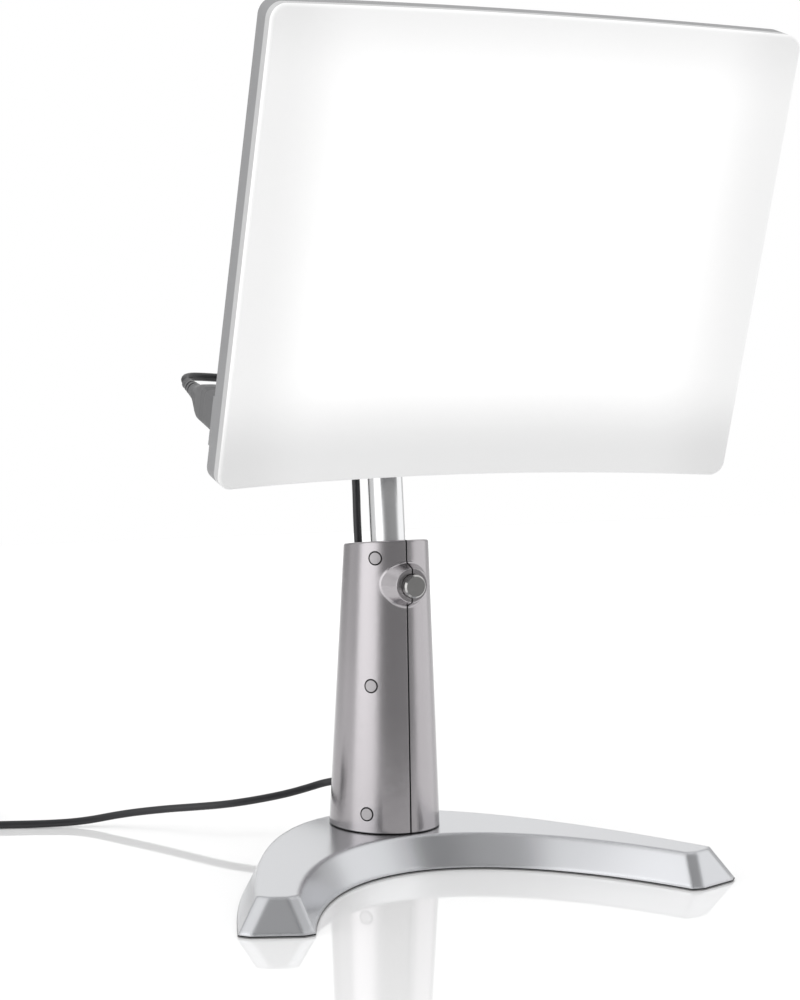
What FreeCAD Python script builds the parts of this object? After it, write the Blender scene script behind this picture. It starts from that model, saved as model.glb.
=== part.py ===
"""Light therapy lamp: a wide diffused light panel on a telescopic mast and a crescent base.

The frame: the origin is on the table under the column, +Z is up and the lamp faces -Y.
The head's pieces are drawn upright in the head's own frame, whose origin is the middle of
the panel's chord plane, and one placement tilts them all. The mast's pieces are drawn
along the mast's own axis, which leans backward.
"""
import FreeCAD, Part
import Sketcher
import math
import os

from FreeCAD import Placement, Rotation, Vector

DOC = FreeCAD.newDocument("light_therapy_lamp")
X_AXIS = Vector(1, 0, 0)
Y_AXIS = Vector(0, 1, 0)
Z_AXIS = Vector(0, 0, 1)

# ----------------------------------------------------------------------------------------
# Driving dimensions, in millimetres and degrees
# ----------------------------------------------------------------------------------------
DIMENSIONS = {
    # crescent base: one side of its outline, mirrored in x = 0
    "foot_gap": 1.0,              # the casting's underside over the table
    "base_height": 24.0,
    "outer_foot_tip_x": 202.8,
    "outer_foot_tip_y": -190.5,
    "outer_foot_apex_y": 53.3,
    "outer_foot_bow": 81.2,
    "inner_foot_tip_x": 153.3,
    "inner_foot_tip_y": -209.2,
    "inner_foot_apex_y": -68.5,
    "inner_foot_bow": 68.7,
    "outer_deck_tip_x": 185.1,
    "outer_deck_tip_y": -181.6,
    "outer_deck_apex_y": 46.4,
    "outer_deck_bow": 67.8,
    "inner_deck_tip_x": 158.0,
    "inner_deck_tip_y": -191.7,
    "inner_deck_apex_y": -51.8,
    "inner_deck_bow": 72.6,
    "leg_bevel_across": 8.4,       # the bevels at a leg end's corners, along its face
    "leg_bevel_back": 4.4,         # and back along its sides
    "deck_edge_round": 1.5,
    "ballast_plate_thickness": 5.0,
    "ballast_plate_border": 0.2,   # share of the leg's width left round the plate
    "pad_radius": 9.0,
    "pad_recess": 1.2,
    "pad_leg_share": 0.06,         # how far along the leg's curve the front pads sit
    "rear_pad_radius": 6.0,
    "pad_edge": 0.4,
    # column: an elliptical cone of two halves that meet at x = 0
    "column_height": 224.0,
    "column_foot_half_width": 42.0,
    "column_foot_half_depth": 46.4,
    "column_top_half_width": 31.9,
    "column_top_half_depth": 34.8,
    "column_wall": 2.5,
    "column_top_fall": 4.0,        # the leaning top's middle under its front edge
    "column_deck": 12.0,           # from that front edge down to the upper guide
    "column_rim_round": 1.6,
    "seam_gap": 0.3,
    "seam_reveal": 0.9,
    "seam_reveal_depth": 0.8,
    "foot_reveal": 0.6,            # the shadow line round the column's foot
    "foot_reveal_depth": 0.8,
    "shelf_thickness": 3.0,
    "upper_guide_height": 13.0,
    "button_height": 190.3,        # above the column's foot
    "boss_root_radius": 16.6,      # where the boss's cone meets the front skin
    "boss_face_radius": 13.0,
    "boss_reach": 9.0,
    "boss_foot": 7.0,
    "boss_fillet": 3.0,
    "boss_face_round": 0.8,
    "cord_exit_height": 20.0,      # above the column's foot
    # column fasteners: heights above the column's foot, and places forward of the axis
    "screw_height_top": 210.5,
    "screw_height_middle": 113.1,
    "screw_height_bottom": 15.2,
    "screw_y_top": -26.0,
    "screw_y_middle": -28.5,
    "screw_y_bottom": -31.0,
    "screw_radius": 1.5,
    "screw_head_radius": 3.0,
    "screw_head_height": 2.2,
    "screw_boss_radius": 6.3,
    "cap_radius": 4.7,
    "cap_thickness": 2.6,
    "cap_gap": 0.3,                # the shadow line round each cap
    "cap_turn": 32.0,              # the caps' axis turned from X toward the front
    "bolt_radius": 2.5,
    "bolt_head_radius": 4.5,
    "bolt_head_height": 4.0,
    "bolt_reach": 14.0,
    "bolt_boss_radius": 6.0,
    "bolt_x": 20.0,
    "bolt_y": 24.0,
    # release
    "button_radius": 8.9,
    "button_face_out": 15.4,       # proud of the column's skin at the button
    "button_bevel": 1.3,
    "button_stroke": 3.0,
    "stem_radius": 4.0,
    "plate_thickness": 5.0,
    "plate_half_width": 19.0,
    "jaw_gap": 0.3,
    "spring_wire": 0.8,
    "spring_radius": 3.6,
    "spring_turns": 5.0,
    # mast
    "mast_lean": 7.1,
    "mast_axis_y": -3.1,           # where the axis crosses the column's top
    "tube_radius": 13.5,
    "tube_wall": 1.5,
    "slide_gap": 0.25,
    "guide_wall": 3.2,
    "guide_length": 81.0,
    "guide_counterbore": 54.0,
    "guide_lug_radius": 4.0,
    "guide_lug_length": 6.0,
    "tube_foot_depth": 184.0,      # tube below the column's top, along the axis, at rest
    "collar_height": 4.0,
    "collar_lip": 1.1,
    "bend_radius": 60.0,
    "arm_end_y": -66.0,
    # tilt hinge
    "hinge_y": -96.0,
    "hinge_z": 480.0,
    "fork_gap": 26.0,
    "cheek_thickness": 6.0,
    "cheek_radius": 13.0,
    "socket_wall": 3.5,
    "socket_length": 24.0,
    "pin_radius": 4.0,
    "pin_head_radius": 8.0,
    "pin_head_height": 4.0,
    "washer_thickness": 1.2,
    "washer_radius": 10.0,
    "pin_tail": 6.0,
    "nut_radius": 7.5,
    "nut_height": 5.0,
    "bearing_gap": 0.05,
    "knuckle_radius": 11.5,
    # head, in its own frame
    "head_tilt": 16.3,
    "panel_width": 408.0,
    "panel_height": 330.5,
    "panel_sagitta": 18.0,
    "panel_corner": 11.0,
    "diffuser_thickness": 3.0,
    "diffuser_edge_round": 2.6,
    "bezel_depth": 7.0,
    "bezel_flange": 7.0,
    "rim_depth": 20.0,
    "shell_wall": 2.5,
    "shell_ledge": 7.0,
    "shell_depth": 78.0,
    "bulge_start": 12.0,
    "bulge_corner": 19.0,
    "plateau_side_inset": 40.0,    # the flat back's edges inside the panel's sides
    "plateau_end_inset": 41.25,    # and inside its top and bottom
    "hinge_below_centre": 10.1,
    "vent_length": 26.0,
    "vent_height": 3.0,
    "vent_pitch": 9.0,
    "vent_spacing": 34.0,
    "vent_rows": 3.0,
    "vent_inset": 16.0,
    "reflector_depth": 52.0,
    "reflector_gauge": 1.0,
    "reflector_front": 30.0,
    "reflector_flare": 19.0,
    "lamp_pitch": 88.0,
    "lamp_depth": 41.5,
    "lamp_glass_radius": 8.5,
    "lamp_glass_spacing": 21.0,
    "lamp_glass_wall": 0.9,
    "lamp_start_inset": 71.0,      # the glass starts this far inside the panel's left side
    "lamp_end_inset": 45.0,
    "lamp_base_length": 22.0,
    "driver_length": 98.0,         # the electronic ballast's case
    "driver_height": 36.0,
    "driver_inset": 14.0,          # inside the flat back's left edge
    "driver_below": 60.0,
    "plate_screw_radius": 1.6,
    "backing_width": 88.0,
    "backing_height": 56.0,
    "backing_thickness": 3.0,
    "shell_screw_radius": 1.3,
    "shell_screw_head": 2.6,
    "shell_screw_inset": 4.2,
    # inlet and connector, in the head's frame
    "inlet_side_inset": 33.0,      # the inlet's middle inside the panel's left side
    "inlet_end_inset": 26.65,      # and above its bottom
    "inlet_face": 68.0,
    "inlet_half_width": 11.0,
    "inlet_half_height": 15.5,
    "inlet_ledge": 1.0,
    "plug_nose_half_width": 7.6,
    "plug_nose_half_height": 11.6,
    "connector_half_width": 8.6,
    "connector_half_height": 13.0,
    "connector_body": 38.0,
    "connector_taper": 24.0,
    "relief_length": 20.0,
    "relief_ribs": 6.0,
    "relief_radius": 5.6,
    # power switch on the head's back
    "switch_x": 120.0,
    "switch_z": -96.0,
    "switch_half_width": 7.0,
    "switch_half_length": 11.0,
    "switch_throw": 7.0,           # to each side of level
    "rocker_pin_radius": 1.2,
    # cord
    "cord_radius": 3.1,
    "cord_hole_gap": 1.2,
    "cord_mast_x": -17.0,
    "cord_mast_y": 17.5,           # behind the mast's axis, square to it
    "cord_way_depth": 130.0,       # below the column's top
    "clip_above_deck": 82.0,
    "coil_radius": 33.0,           # at the middle of the turns
    "coil_layers": 4.0,
    "coil_edge": 1.8,
    "plug_length": 30.0,
    "plug_height": 18.6,
    "plug_half_width": 13.0,
    "plug_neck": 22.0,
    "plug_lead": 22.0,             # free cord between the coil and the plug
    "blade_length": 17.0,
    "blade_width": 6.4,
    "blade_thickness": 1.5,
    "blade_spacing": 12.7,
    "earth_pin_radius": 2.4,
    "earth_pin_length": 21.0,
    # fits
    "seat_gap": 0.1,               # between pieces of one body
    "moving_gap": 0.3,             # between bodies
}


def make_sheet():
    """Write the driving dimensions as aliased cells."""
    sheet = DOC.addObject("Spreadsheet::Sheet", "sizes")
    for row, (alias, value) in enumerate(DIMENSIONS.items(), start=1):
        sheet.set("A%d" % row, alias)
        sheet.set("B%d" % row, str(value))
        sheet.setAlias("B%d" % row, alias)
    DOC.recompute()
    return sheet


SHEET = make_sheet()


def size(alias):
    """The value of one driving dimension."""
    return float(SHEET.get(alias))


# ----------------------------------------------------------------------------------------
# Worked-out places that several pieces share
# ----------------------------------------------------------------------------------------
BASE_TOP = size("foot_gap") + size("base_height")
COLUMN_TOP = BASE_TOP + size("column_height")
LEAN = math.radians(size("mast_lean"))
TILT = math.radians(size("head_tilt"))
MAST_DIR = Vector(0, math.sin(LEAN), math.cos(LEAN))
MAST_TOP = Vector(0, size("mast_axis_y"), COLUMN_TOP)
BUTTON_Z = BASE_TOP + size("button_height")
HINGE = Vector(0, size("hinge_y"), size("hinge_z"))
HINGE_DEPTH = size("shell_depth") + size("cheek_radius") + 15.2
HEAD_BACK = Vector(0, math.cos(TILT), math.sin(TILT))
HEAD_UP = Vector(0, -math.sin(TILT), math.cos(TILT))
HEAD_CENTRE = HINGE - HEAD_BACK * HINGE_DEPTH + HEAD_UP * size("hinge_below_centre")
HEAD_PLACE = Placement(HEAD_CENTRE, Rotation(X_AXIS, size("head_tilt")))
MAST_PLACE = Placement(MAST_TOP, Rotation(X_AXIS, -size("mast_lean")))
TUBE_HOLE = size("tube_radius") + size("slide_gap") + 0.5
GUIDE_RADIUS = size("tube_radius") + size("slide_gap") + size("guide_wall")
GUIDE_TOP = BUTTON_Z - size("plate_thickness") / 2 - size("moving_gap") - size("shelf_thickness")
UPPER_GUIDE_TOP = COLUMN_TOP - size("column_deck")
PANEL_HALF_WIDTH = size("panel_width") / 2
PANEL_HALF_HEIGHT = size("panel_height") / 2
PLATEAU_HALF_WIDTH = PANEL_HALF_WIDTH - size("plateau_side_inset")
PLATEAU_HALF_HEIGHT = PANEL_HALF_HEIGHT - size("plateau_end_inset")
INLET_X = size("inlet_side_inset") - PANEL_HALF_WIDTH
INLET_Z = size("inlet_end_inset") - PANEL_HALF_HEIGHT
LAMP_START_X = size("lamp_start_inset") - PANEL_HALF_WIDTH
LAMP_LENGTH = size("panel_width") - size("lamp_start_inset") - size("lamp_end_inset")


def mast_y(z):
    """The mast axis's y at a height over the table."""
    return MAST_TOP.y + (z - MAST_TOP.z) * math.tan(LEAN)


def column_half_width(z):
    share = (z - BASE_TOP) / size("column_height")
    return size("column_foot_half_width") * (1 - share) + size("column_top_half_width") * share


def column_half_depth(z):
    share = (z - BASE_TOP) / size("column_height")
    return size("column_foot_half_depth") * (1 - share) + size("column_top_half_depth") * share


NODES = []


def keep(node):
    """Remember a finished sub-part; its label names its file."""
    NODES.append(node)
    return node


def feature(label, shape, placement=Placement()):
    """A sub-part whose shape is set directly, placed after its shape is given."""
    node = DOC.addObject("Part::Feature", label)
    node.Label = label
    node.Shape = shape
    node.Placement = placement.multiply(node.Placement)
    return keep(node)


def cylinder(radius, start, direction, length):
    return Part.makeCylinder(radius, length, start, direction)


def block(x_low, x_high, y_low, y_high, z_low, z_high):
    corner = Vector(x_low, y_low, z_low)
    return Part.makeBox(x_high - x_low, y_high - y_low, z_high - z_low, corner)


def joined(shapes):
    """Several solids as one shape, kept separate where they do not touch."""
    return Part.makeCompound(shapes)


def ring(outer, inner, start, direction, length):
    return cylinder(outer, start, direction, length).cut(
        cylinder(inner, start - direction, direction, length + 2))


# ----------------------------------------------------------------------------------------
# PartDesign and primitive helpers, with every size bound to the sheet
# ----------------------------------------------------------------------------------------
def plane_of(body, role):
    return [part for part in body.Origin.OriginFeatures if part.Role == role][0]


def bound_profile(body, role, points):
    """A closed sketch of straight edges whose corners are bound to sheet expressions."""
    sketch = body.newObject("Sketcher::SketchObject", body.Name + "_profile")
    sketch.AttachmentSupport = [(plane_of(body, role), "")]
    sketch.MapMode = "FlatFace"
    values = [tuple(float(SHEET.evalExpression(text)) for text in pair) for pair in points]
    count = len(points)
    for index in range(count):
        here = values[index]
        following = values[(index + 1) % count]
        sketch.addGeometry(Part.LineSegment(Vector(*here, 0), Vector(*following, 0)))
    for index in range(count):
        sketch.addConstraint(Sketcher.Constraint("Coincident", index, 2, (index + 1) % count, 1))
    for index, (texts, corner) in enumerate(zip(points, values)):
        for kind, text, value, axis in (("DistanceX", texts[0], corner[0], -2),
                                        ("DistanceY", texts[1], corner[1], -1)):
            bind_corner(sketch, index, kind, text, value, axis)
    return sketch


def bind_corner(sketch, index, kind, text, value, axis):
    """Hold one coordinate of a corner to its expression, or to the axis where it is zero."""
    if abs(value) < 1e-9:
        sketch.addConstraint(Sketcher.Constraint("PointOnObject", index, 1, axis))
        return
    if value > 0:
        place = sketch.addConstraint(Sketcher.Constraint(kind, -1, 1, index, 1, value))
        sketch.setExpression("Constraints[%d]" % place, bound(text))
    else:
        place = sketch.addConstraint(Sketcher.Constraint(kind, index, 1, -1, 1, -value))
        sketch.setExpression("Constraints[%d]" % place, "-(" + bound(text) + ")")


def bound(text):
    """An expression over sheet aliases, spelt for another object."""
    words = []
    word = ""
    for letter in text + " ":
        if letter.isalnum() or letter == "_":
            word += letter
            continue
        words.append("sizes." + word if word in DIMENSIONS else word)
        words.append(letter)
        word = ""
    return "".join(words).strip()


def turned(label, points, placement):
    """A sub-part turned on a lathe: (radius, height) corners revolved about local Z."""
    return keep(revolved(label, points, placement))


def revolved(label, points, placement):
    body = DOC.addObject("PartDesign::Body", label)
    body.Label = label
    sketch = bound_profile(body, "XZ_Plane", points)
    turn = body.newObject("PartDesign::Revolution", label + "_turn")
    turn.Profile = sketch
    turn.ReferenceAxis = (sketch, ["V_Axis"])
    turn.Angle = 360
    body.Placement = placement
    return body


def primitive(kind, label, sizes, placement=Placement()):
    """A Part primitive whose sizes are bound to sheet expressions."""
    solid = DOC.addObject("Part::" + kind, label)
    for name, text in sizes.items():
        solid.setExpression(name, bound(text))
    solid.Placement = placement
    return solid


def bored(label, body, drills):
    """A piece with its holes cut, as a boolean of primitives."""
    tool = drills[0]
    if len(drills) > 1:
        tool = DOC.addObject("Part::MultiFuse", label + "_drills")
        tool.Shapes = drills
    cut = DOC.addObject("Part::Cut", label)
    cut.Base = body
    cut.Tool = tool
    cut.Label = label
    return cut


def grouped(label, pieces):
    """Several like pieces kept as one sub-part."""
    group = DOC.addObject("Part::Compound", label)
    group.Links = pieces
    group.Label = label
    return keep(group)


def number(value):
    """A worked-out length as the text of an expression."""
    return "%.6f" % value


# ----------------------------------------------------------------------------------------
# Base
# ----------------------------------------------------------------------------------------
def leg_curve(name, height, border=0.0, other=None, trim=0.0):
    """A bowed line of the crescent, from the left tip round the apex to the right tip.

    A border moves it toward the other edge, and a trim shortens both of its ends."""
    def poles(prefix):
        tip_x = size(prefix + "_tip_x")
        tip_y = size(prefix + "_tip_y")
        pole_y = (size(prefix + "_apex_y") - tip_y / 4) / 0.75
        bow = size(prefix + "_bow")
        return [(-tip_x, tip_y), (-bow, pole_y), (bow, pole_y), (tip_x, tip_y)]

    places = poles(name)
    if other:
        places = [(x + (far_x - x) * border, y + (far_y - y) * border)
                  for (x, y), (far_x, far_y) in zip(places, poles(other))]
    curve = Part.BezierCurve()
    curve.setPoles([Vector(x, y, height) for x, y in places])
    if trim:
        curve.segment(trim, 1 - trim)
    return curve


def crescent_wire(outer_name, inner_name, height, border=0.0):
    trim = border / 5
    outer = leg_curve(outer_name, height, border, inner_name, trim).toShape()
    inner = leg_curve(inner_name, height, border, outer_name, trim).toShape()
    left = Part.makeLine(outer.Vertexes[0].Point, inner.Vertexes[0].Point)
    right = Part.makeLine(inner.Vertexes[-1].Point, outer.Vertexes[-1].Point)
    return Part.Wire([outer, right, inner, left])


def shortened(curve, length):
    """A curve without its first and last length."""
    first = curve.parameterAtDistance(length, 0)
    curve.segment(first, 1 - first)
    return curve


def bevelled_wire(outer_name, inner_name, height):
    """The crescent's outline with bevelled corners at the leg ends."""
    curves = [leg_curve(outer_name, height), leg_curve(inner_name, height)]
    outer_tips = [curves[0].value(0), curves[0].value(1)]
    inner_tips = [curves[1].value(0), curves[1].value(1)]
    outer, inner = [shortened(curve, size("leg_bevel_back")).toShape() for curve in curves]
    across = size("leg_bevel_across")
    pieces = [outer]
    for end in (-1, 0):
        start, finish = outer_tips[end], inner_tips[end]
        along = (finish - start).normalize()
        corners = [outer.Vertexes[end].Point, start + along * across, finish - along * across,
                   inner.Vertexes[end].Point]
        if end == 0:
            corners.reverse()
        pieces += [Part.makeLine(first, last) for first, last in zip(corners, corners[1:])]
        if end == -1:
            pieces.append(inner)
    return Part.Wire(pieces)


def base_loft():
    foot = bevelled_wire("outer_foot", "inner_foot", size("foot_gap"))
    deck = bevelled_wire("outer_deck", "inner_deck", BASE_TOP)
    return Part.makeLoft([foot, deck], True, True)


def deck_edges(solid):
    """The edges all round the casting's deck."""
    return [edge for edge in solid.Edges if edge.BoundBox.ZMin > BASE_TOP - 0.01]


def pad_places():
    """Each rubber pad's centre and radius: under the column, in each leg end and behind."""
    middle = leg_curve("outer_foot", 0, 0.5, "inner_foot")
    share = size("pad_leg_share")
    radius = size("pad_radius")
    rear = size("rear_pad_radius")
    back = size("outer_foot_apex_y") - rear - 5
    return [(Vector(0, 0, 0), radius), (middle.value(share), radius),
            (middle.value(1 - share), radius), (Vector(0, back, 0), rear)]


def pad_pockets():
    """The pockets that hold the pads in the casting and the ballast plate."""
    top = size("foot_gap") + size("pad_recess")
    return [cylinder(radius + size("seat_gap"), place, Z_AXIS, top)
            for place, radius in pad_places()]


def bolt_places():
    return [Vector(x * size("bolt_x"), y * size("bolt_y"), 0) for x in (-1, 1) for y in (-1, 1)]


def make_base():
    foot_gap = size("foot_gap")
    plate_top = foot_gap + size("ballast_plate_thickness")
    solid = base_loft()
    solid = solid.makeFillet(size("deck_edge_round"), deck_edges(solid))
    recess = Part.Face(crescent_wire("outer_foot", "inner_foot", foot_gap,
                                     size("ballast_plate_border")))
    gap = size("seat_gap")
    solid = solid.cut(recess.extrude(Z_AXIS * (size("ballast_plate_thickness") + gap)))
    for place in bolt_places():
        solid = solid.cut(cylinder(size("bolt_radius") + gap, place, Z_AXIS, BASE_TOP + 1))
        solid = solid.cut(cylinder(size("bolt_head_radius") + gap, place, Z_AXIS,
                                   plate_top + size("bolt_head_height") + gap))
    for pocket in pad_pockets():
        solid = solid.cut(pocket)
    feature("crescent_base", solid)

    smaller = Part.Face(crescent_wire("outer_foot", "inner_foot", foot_gap,
                                      size("ballast_plate_border") + 0.02))
    ballast = smaller.extrude(Z_AXIS * size("ballast_plate_thickness"))
    for place in bolt_places():
        ballast = ballast.cut(cylinder(size("bolt_head_radius") + 1, place, Z_AXIS, plate_top + 1))
    for pocket in pad_pockets():
        ballast = ballast.cut(pocket)
    feature("ballast_plate", largest(ballast))

    pads = []
    for index, (place, radius) in enumerate(pad_places()):
        name = "rear_pad_radius" if radius == size("rear_pad_radius") else "pad_radius"
        pads.append(revolved("rubber_foot_%d" % index, [
            ("0", "0"),
            (name + " - pad_edge", "0"),
            (name, "pad_edge"),
            (name, "foot_gap + pad_recess"),
            ("0", "foot_gap + pad_recess"),
        ], Placement(place, Rotation())))
    grouped("rubber_feet", pads)

    bolts = []
    shank_top = "base_height - ballast_plate_thickness + bolt_reach"
    for index, place in enumerate(bolt_places()):
        bolts.append(revolved("column_bolt_%d" % index, [
            ("0", "2"),
            ("bolt_head_radius / 2", "2"),
            ("bolt_head_radius / 2", "0"),
            ("bolt_head_radius", "0"),
            ("bolt_head_radius", "bolt_head_height"),
            ("bolt_radius", "bolt_head_height"),
            ("bolt_radius", shank_top),
            ("0", shank_top),
        ], Placement(place + Z_AXIS * plate_top, Rotation())))
    grouped("column_bolts", bolts)


# ----------------------------------------------------------------------------------------
# Column
# ----------------------------------------------------------------------------------------
def column_section(z, inset):
    """A flat ellipse of the column at a height, shrunk by an inset."""
    wide = column_half_width(z) - inset
    deep = column_half_depth(z) - inset
    ellipse = Part.Ellipse(Vector(0, 0, z), deep, wide)
    ellipse.rotate(Placement(Vector(), Rotation(Z_AXIS, 90), Vector(0, 0, z)))
    return Part.Wire(ellipse.toShape())


def column_solid(low, high, inset=0.0):
    return Part.makeLoft([column_section(low, inset), column_section(high, inset)], True, True)


def screw_rows():
    """Each column screw's height over the table and its place in front of the axis."""
    return [(BASE_TOP + size("screw_height_" + row), size("screw_y_" + row))
            for row in ("top", "middle", "bottom")]


def skin_x(y, z):
    """The column skin's half width at a place."""
    share = y / column_half_depth(z)
    return column_half_width(z) * math.sqrt(1 - share * share)


def cap_axis():
    turn = math.radians(size("cap_turn"))
    return Vector(-math.cos(turn), -math.sin(turn), 0)


def cord_column_solid(radius):
    """The straight way that the cord takes down the column, beside the mast."""
    depth = size("cord_way_depth")
    start = Vector(size("cord_mast_x"), size("cord_mast_y"), -depth)
    way = cylinder(radius, start, Z_AXIS, depth + 10)
    way.Placement = MAST_PLACE
    return way


def mast_cylinder(radius, low, high):
    """A cylinder about the mast's axis between two heights over the table."""
    start = MAST_TOP + MAST_DIR * ((low - COLUMN_TOP) / math.cos(LEAN) - 5)
    return cylinder(radius, start, MAST_DIR, (high - low) / math.cos(LEAN) + 10)


def mast_seat(radius, low, high):
    """A leaning round space with level ends."""
    return mast_cylinder(radius, low, high).common(block(-60, 60, -90, 60, low, high))


def shelf(low, thickness, hole):
    """A web across the column that holds a piece round the mast."""
    web = column_solid(low, low + thickness, size("column_wall") / 2)
    return web.cut(mast_cylinder(hole, low, low + thickness))


def guide_foot():
    return GUIDE_TOP - size("guide_length")


def column_shelves():
    """Every web, from the top down: two for the upper guide, two for the plate, two below."""
    thick = size("shelf_thickness")
    upper_floor = UPPER_GUIDE_TOP - size("upper_guide_height") - thick
    seat = GUIDE_RADIUS + size("seat_gap")
    return [
        shelf(UPPER_GUIDE_TOP - size("upper_guide_height") / 2, thick, seat),
        shelf(upper_floor, thick, TUBE_HOLE),
        shelf(GUIDE_TOP, thick, TUBE_HOLE),
        shelf(GUIDE_TOP - size("guide_length") / 2, thick, seat),
        shelf(guide_foot() - thick, thick, size("tube_radius") + size("collar_lip") + 1),
    ]


def button_boss():
    """The round boss on the column's front that the button works in."""
    foot, reach = size("boss_foot"), size("boss_reach")
    face, root = size("boss_face_radius"), size("boss_root_radius")
    start = Vector(0, -column_half_depth(BUTTON_Z) + foot, BUTTON_Z)
    start_radius = face + (root - face) * (foot + reach) / reach
    cone = Part.makeCone(start_radius, face, foot + reach, start, -Y_AXIS)
    front = [edge for edge in cone.Edges if edge.BoundBox.YMax < start.y - foot - reach + 0.01]
    return cone.makeFillet(size("boss_face_round"), front)


def with_boss(outer):
    """The column's outer form with the boss blended into it."""
    front_y = -column_half_depth(BUTTON_Z) - size("boss_reach") + size("boss_face_round") + 0.5
    solid = outer.fuse(button_boss())
    reach = 2 * size("boss_root_radius")
    blend = []
    for edge in solid.Edges:
        box = edge.BoundBox
        near = abs(box.ZMin - BUTTON_Z) < reach and abs(box.ZMax - BUTTON_Z) < reach
        if near and box.YMin > front_y and box.YMax < 0:
            blend.append(edge)
    return solid.makeFillet(size("boss_fillet"), blend)


def above_column_top():
    """The space over the column's top, which is square to the mast."""
    space = block(-90, 90, -90, 90, 0, 60)
    middle = Vector(0, 0, COLUMN_TOP - size("column_top_fall"))
    space.Placement = Placement(middle, Rotation(X_AXIS, -size("mast_lean")))
    return space


def column_blank():
    """The whole column before it is split."""
    gap = size("seat_gap")
    outer = column_solid(BASE_TOP, COLUMN_TOP + 8).cut(above_column_top())
    rim = [edge for edge in outer.Edges
           if len(edge.Vertexes) == 1 and edge.BoundBox.ZMin > UPPER_GUIDE_TOP]
    outer = outer.makeFillet(size("column_rim_round"), rim)
    outer = with_boss(outer)
    hollow = column_solid(BASE_TOP, UPPER_GUIDE_TOP, size("column_wall"))
    walls = outer.cut(hollow)
    inside = column_solid(BASE_TOP, UPPER_GUIDE_TOP, size("column_wall") / 2)
    for web in column_shelves():
        walls = walls.fuse(web)
    for row, (height, place_y) in enumerate(screw_rows()):
        reach = skin_x(place_y, height)
        length = reach if row == 1 else 2 * reach
        post = cylinder(size("screw_boss_radius"), Vector(-reach, place_y, height), X_AXIS,
                        length)
        walls = walls.fuse(post.common(inside))
    seat = GUIDE_RADIUS + gap
    walls = walls.cut(mast_seat(seat, UPPER_GUIDE_TOP - size("upper_guide_height"),
                                UPPER_GUIDE_TOP))
    walls = walls.cut(mast_seat(seat, guide_foot(), GUIDE_TOP))
    for place in bolt_places():
        post = cylinder(size("bolt_boss_radius"), place + Z_AXIS * BASE_TOP, Z_AXIS,
                        size("bolt_reach") + 3)
        walls = walls.fuse(post)
    walls = walls.cut(mast_cylinder(TUBE_HOLE, UPPER_GUIDE_TOP, COLUMN_TOP))
    walls = walls.cut(mast_way_below())
    walls = walls.cut(cord_column_solid(size("cord_radius") + size("cord_hole_gap")))
    for place in bolt_places():
        walls = walls.cut(cylinder(size("bolt_radius") + gap, place, Z_AXIS,
                                   BASE_TOP + size("bolt_reach") + 1))
    walls = walls.cut(button_way()).cut(spring_pocket())
    exit_z = BASE_TOP + size("cord_exit_height")
    walls = walls.cut(cylinder(grommet_radius() + gap, Vector(0, 30, exit_z), Y_AXIS, 30))
    return walls


def mast_way_below():
    """Room for the tube's foot and the guide under the lowest web."""
    radius = size("tube_radius") + size("collar_lip") + 1
    foot = COLUMN_TOP - (size("tube_foot_depth") + size("collar_height")) * math.cos(LEAN)
    return mast_cylinder(radius, foot - 1, guide_foot() - 1)


def button_way():
    """The button's bore through the boss and the wall."""
    skin = column_half_depth(BUTTON_Z)
    return cylinder(size("button_radius") + size("moving_gap"),
                    Vector(0, -skin - 30, BUTTON_Z), Y_AXIS, 30 + size("boss_foot") + 4)


def spring_pocket():
    """Room for the button's return spring over the shelf under it."""
    rear = column_half_depth(BUTTON_Z) - size("column_wall")
    radius = size("spring_radius") + size("spring_wire") / 2 + size("moving_gap") + 0.2
    return cylinder(radius, Vector(0, rear - 30, BUTTON_Z), Y_AXIS, 30)


def column_screw_cuts(side):
    """The screw and cap holes of one half; the left half holds the heads and caps."""
    gap = size("seat_gap")
    cuts = []
    for row, (height, place_y) in enumerate(screw_rows()):
        reach = skin_x(place_y, height)
        middle = Vector(0, place_y, height)
        if side < 0:
            head = screw_head_x(row)
            cuts.append(cylinder(size("screw_radius") + gap, middle + X_AXIS * -reach, X_AXIS,
                                 reach + 1))
            cuts.append(cylinder(size("screw_head_radius") + gap, middle + X_AXIS * (head - 20),
                                 X_AXIS, 20 + size("screw_head_height") + gap))
            cuts.append(cap_recess(row))
        elif row != 1:
            cuts.append(cylinder(size("screw_radius") + gap, middle - X_AXIS, X_AXIS,
                                 reach - 4))
    return cuts


def cap_centre(row):
    """Where a cap's axis meets the column's skin."""
    height, place_y = screw_rows()[row]
    return Vector(-skin_x(place_y, height), place_y, height)


def cap_recess(row):
    inner = cap_centre(row) - cap_axis() * (size("cap_thickness") + size("seat_gap"))
    return cylinder(size("cap_radius") + size("cap_gap"), inner, cap_axis(), 12)


def screw_head_x(row):
    """The outer face of a column screw's head sits below the cap's recess."""
    height, place_y = screw_rows()[row]
    return -skin_x(place_y, height) + 3 * size("cap_thickness")


def make_column():
    blank = column_blank()
    half_gap = size("seam_gap") / 2
    for side, label in ((-1, "column_left_half"), (1, "column_right_half")):
        low, high = sorted((side * half_gap, side * 90))
        half = blank.common(block(low, high, -90, 90, 0, COLUMN_TOP + 5))
        half = half.cut(seam_reveal_cut()).cut(foot_reveal_cut())
        for cut in column_screw_cuts(side):
            half = half.cut(cut)
        if side < 0:
            half = half.cut(guide_screw_boss(size("seat_gap")))
        feature(label, largest(half))


def largest(shape):
    """The main solid, without the chips that a cut leaves."""
    return max(shape.Solids, key=lambda solid: solid.Volume)


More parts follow.
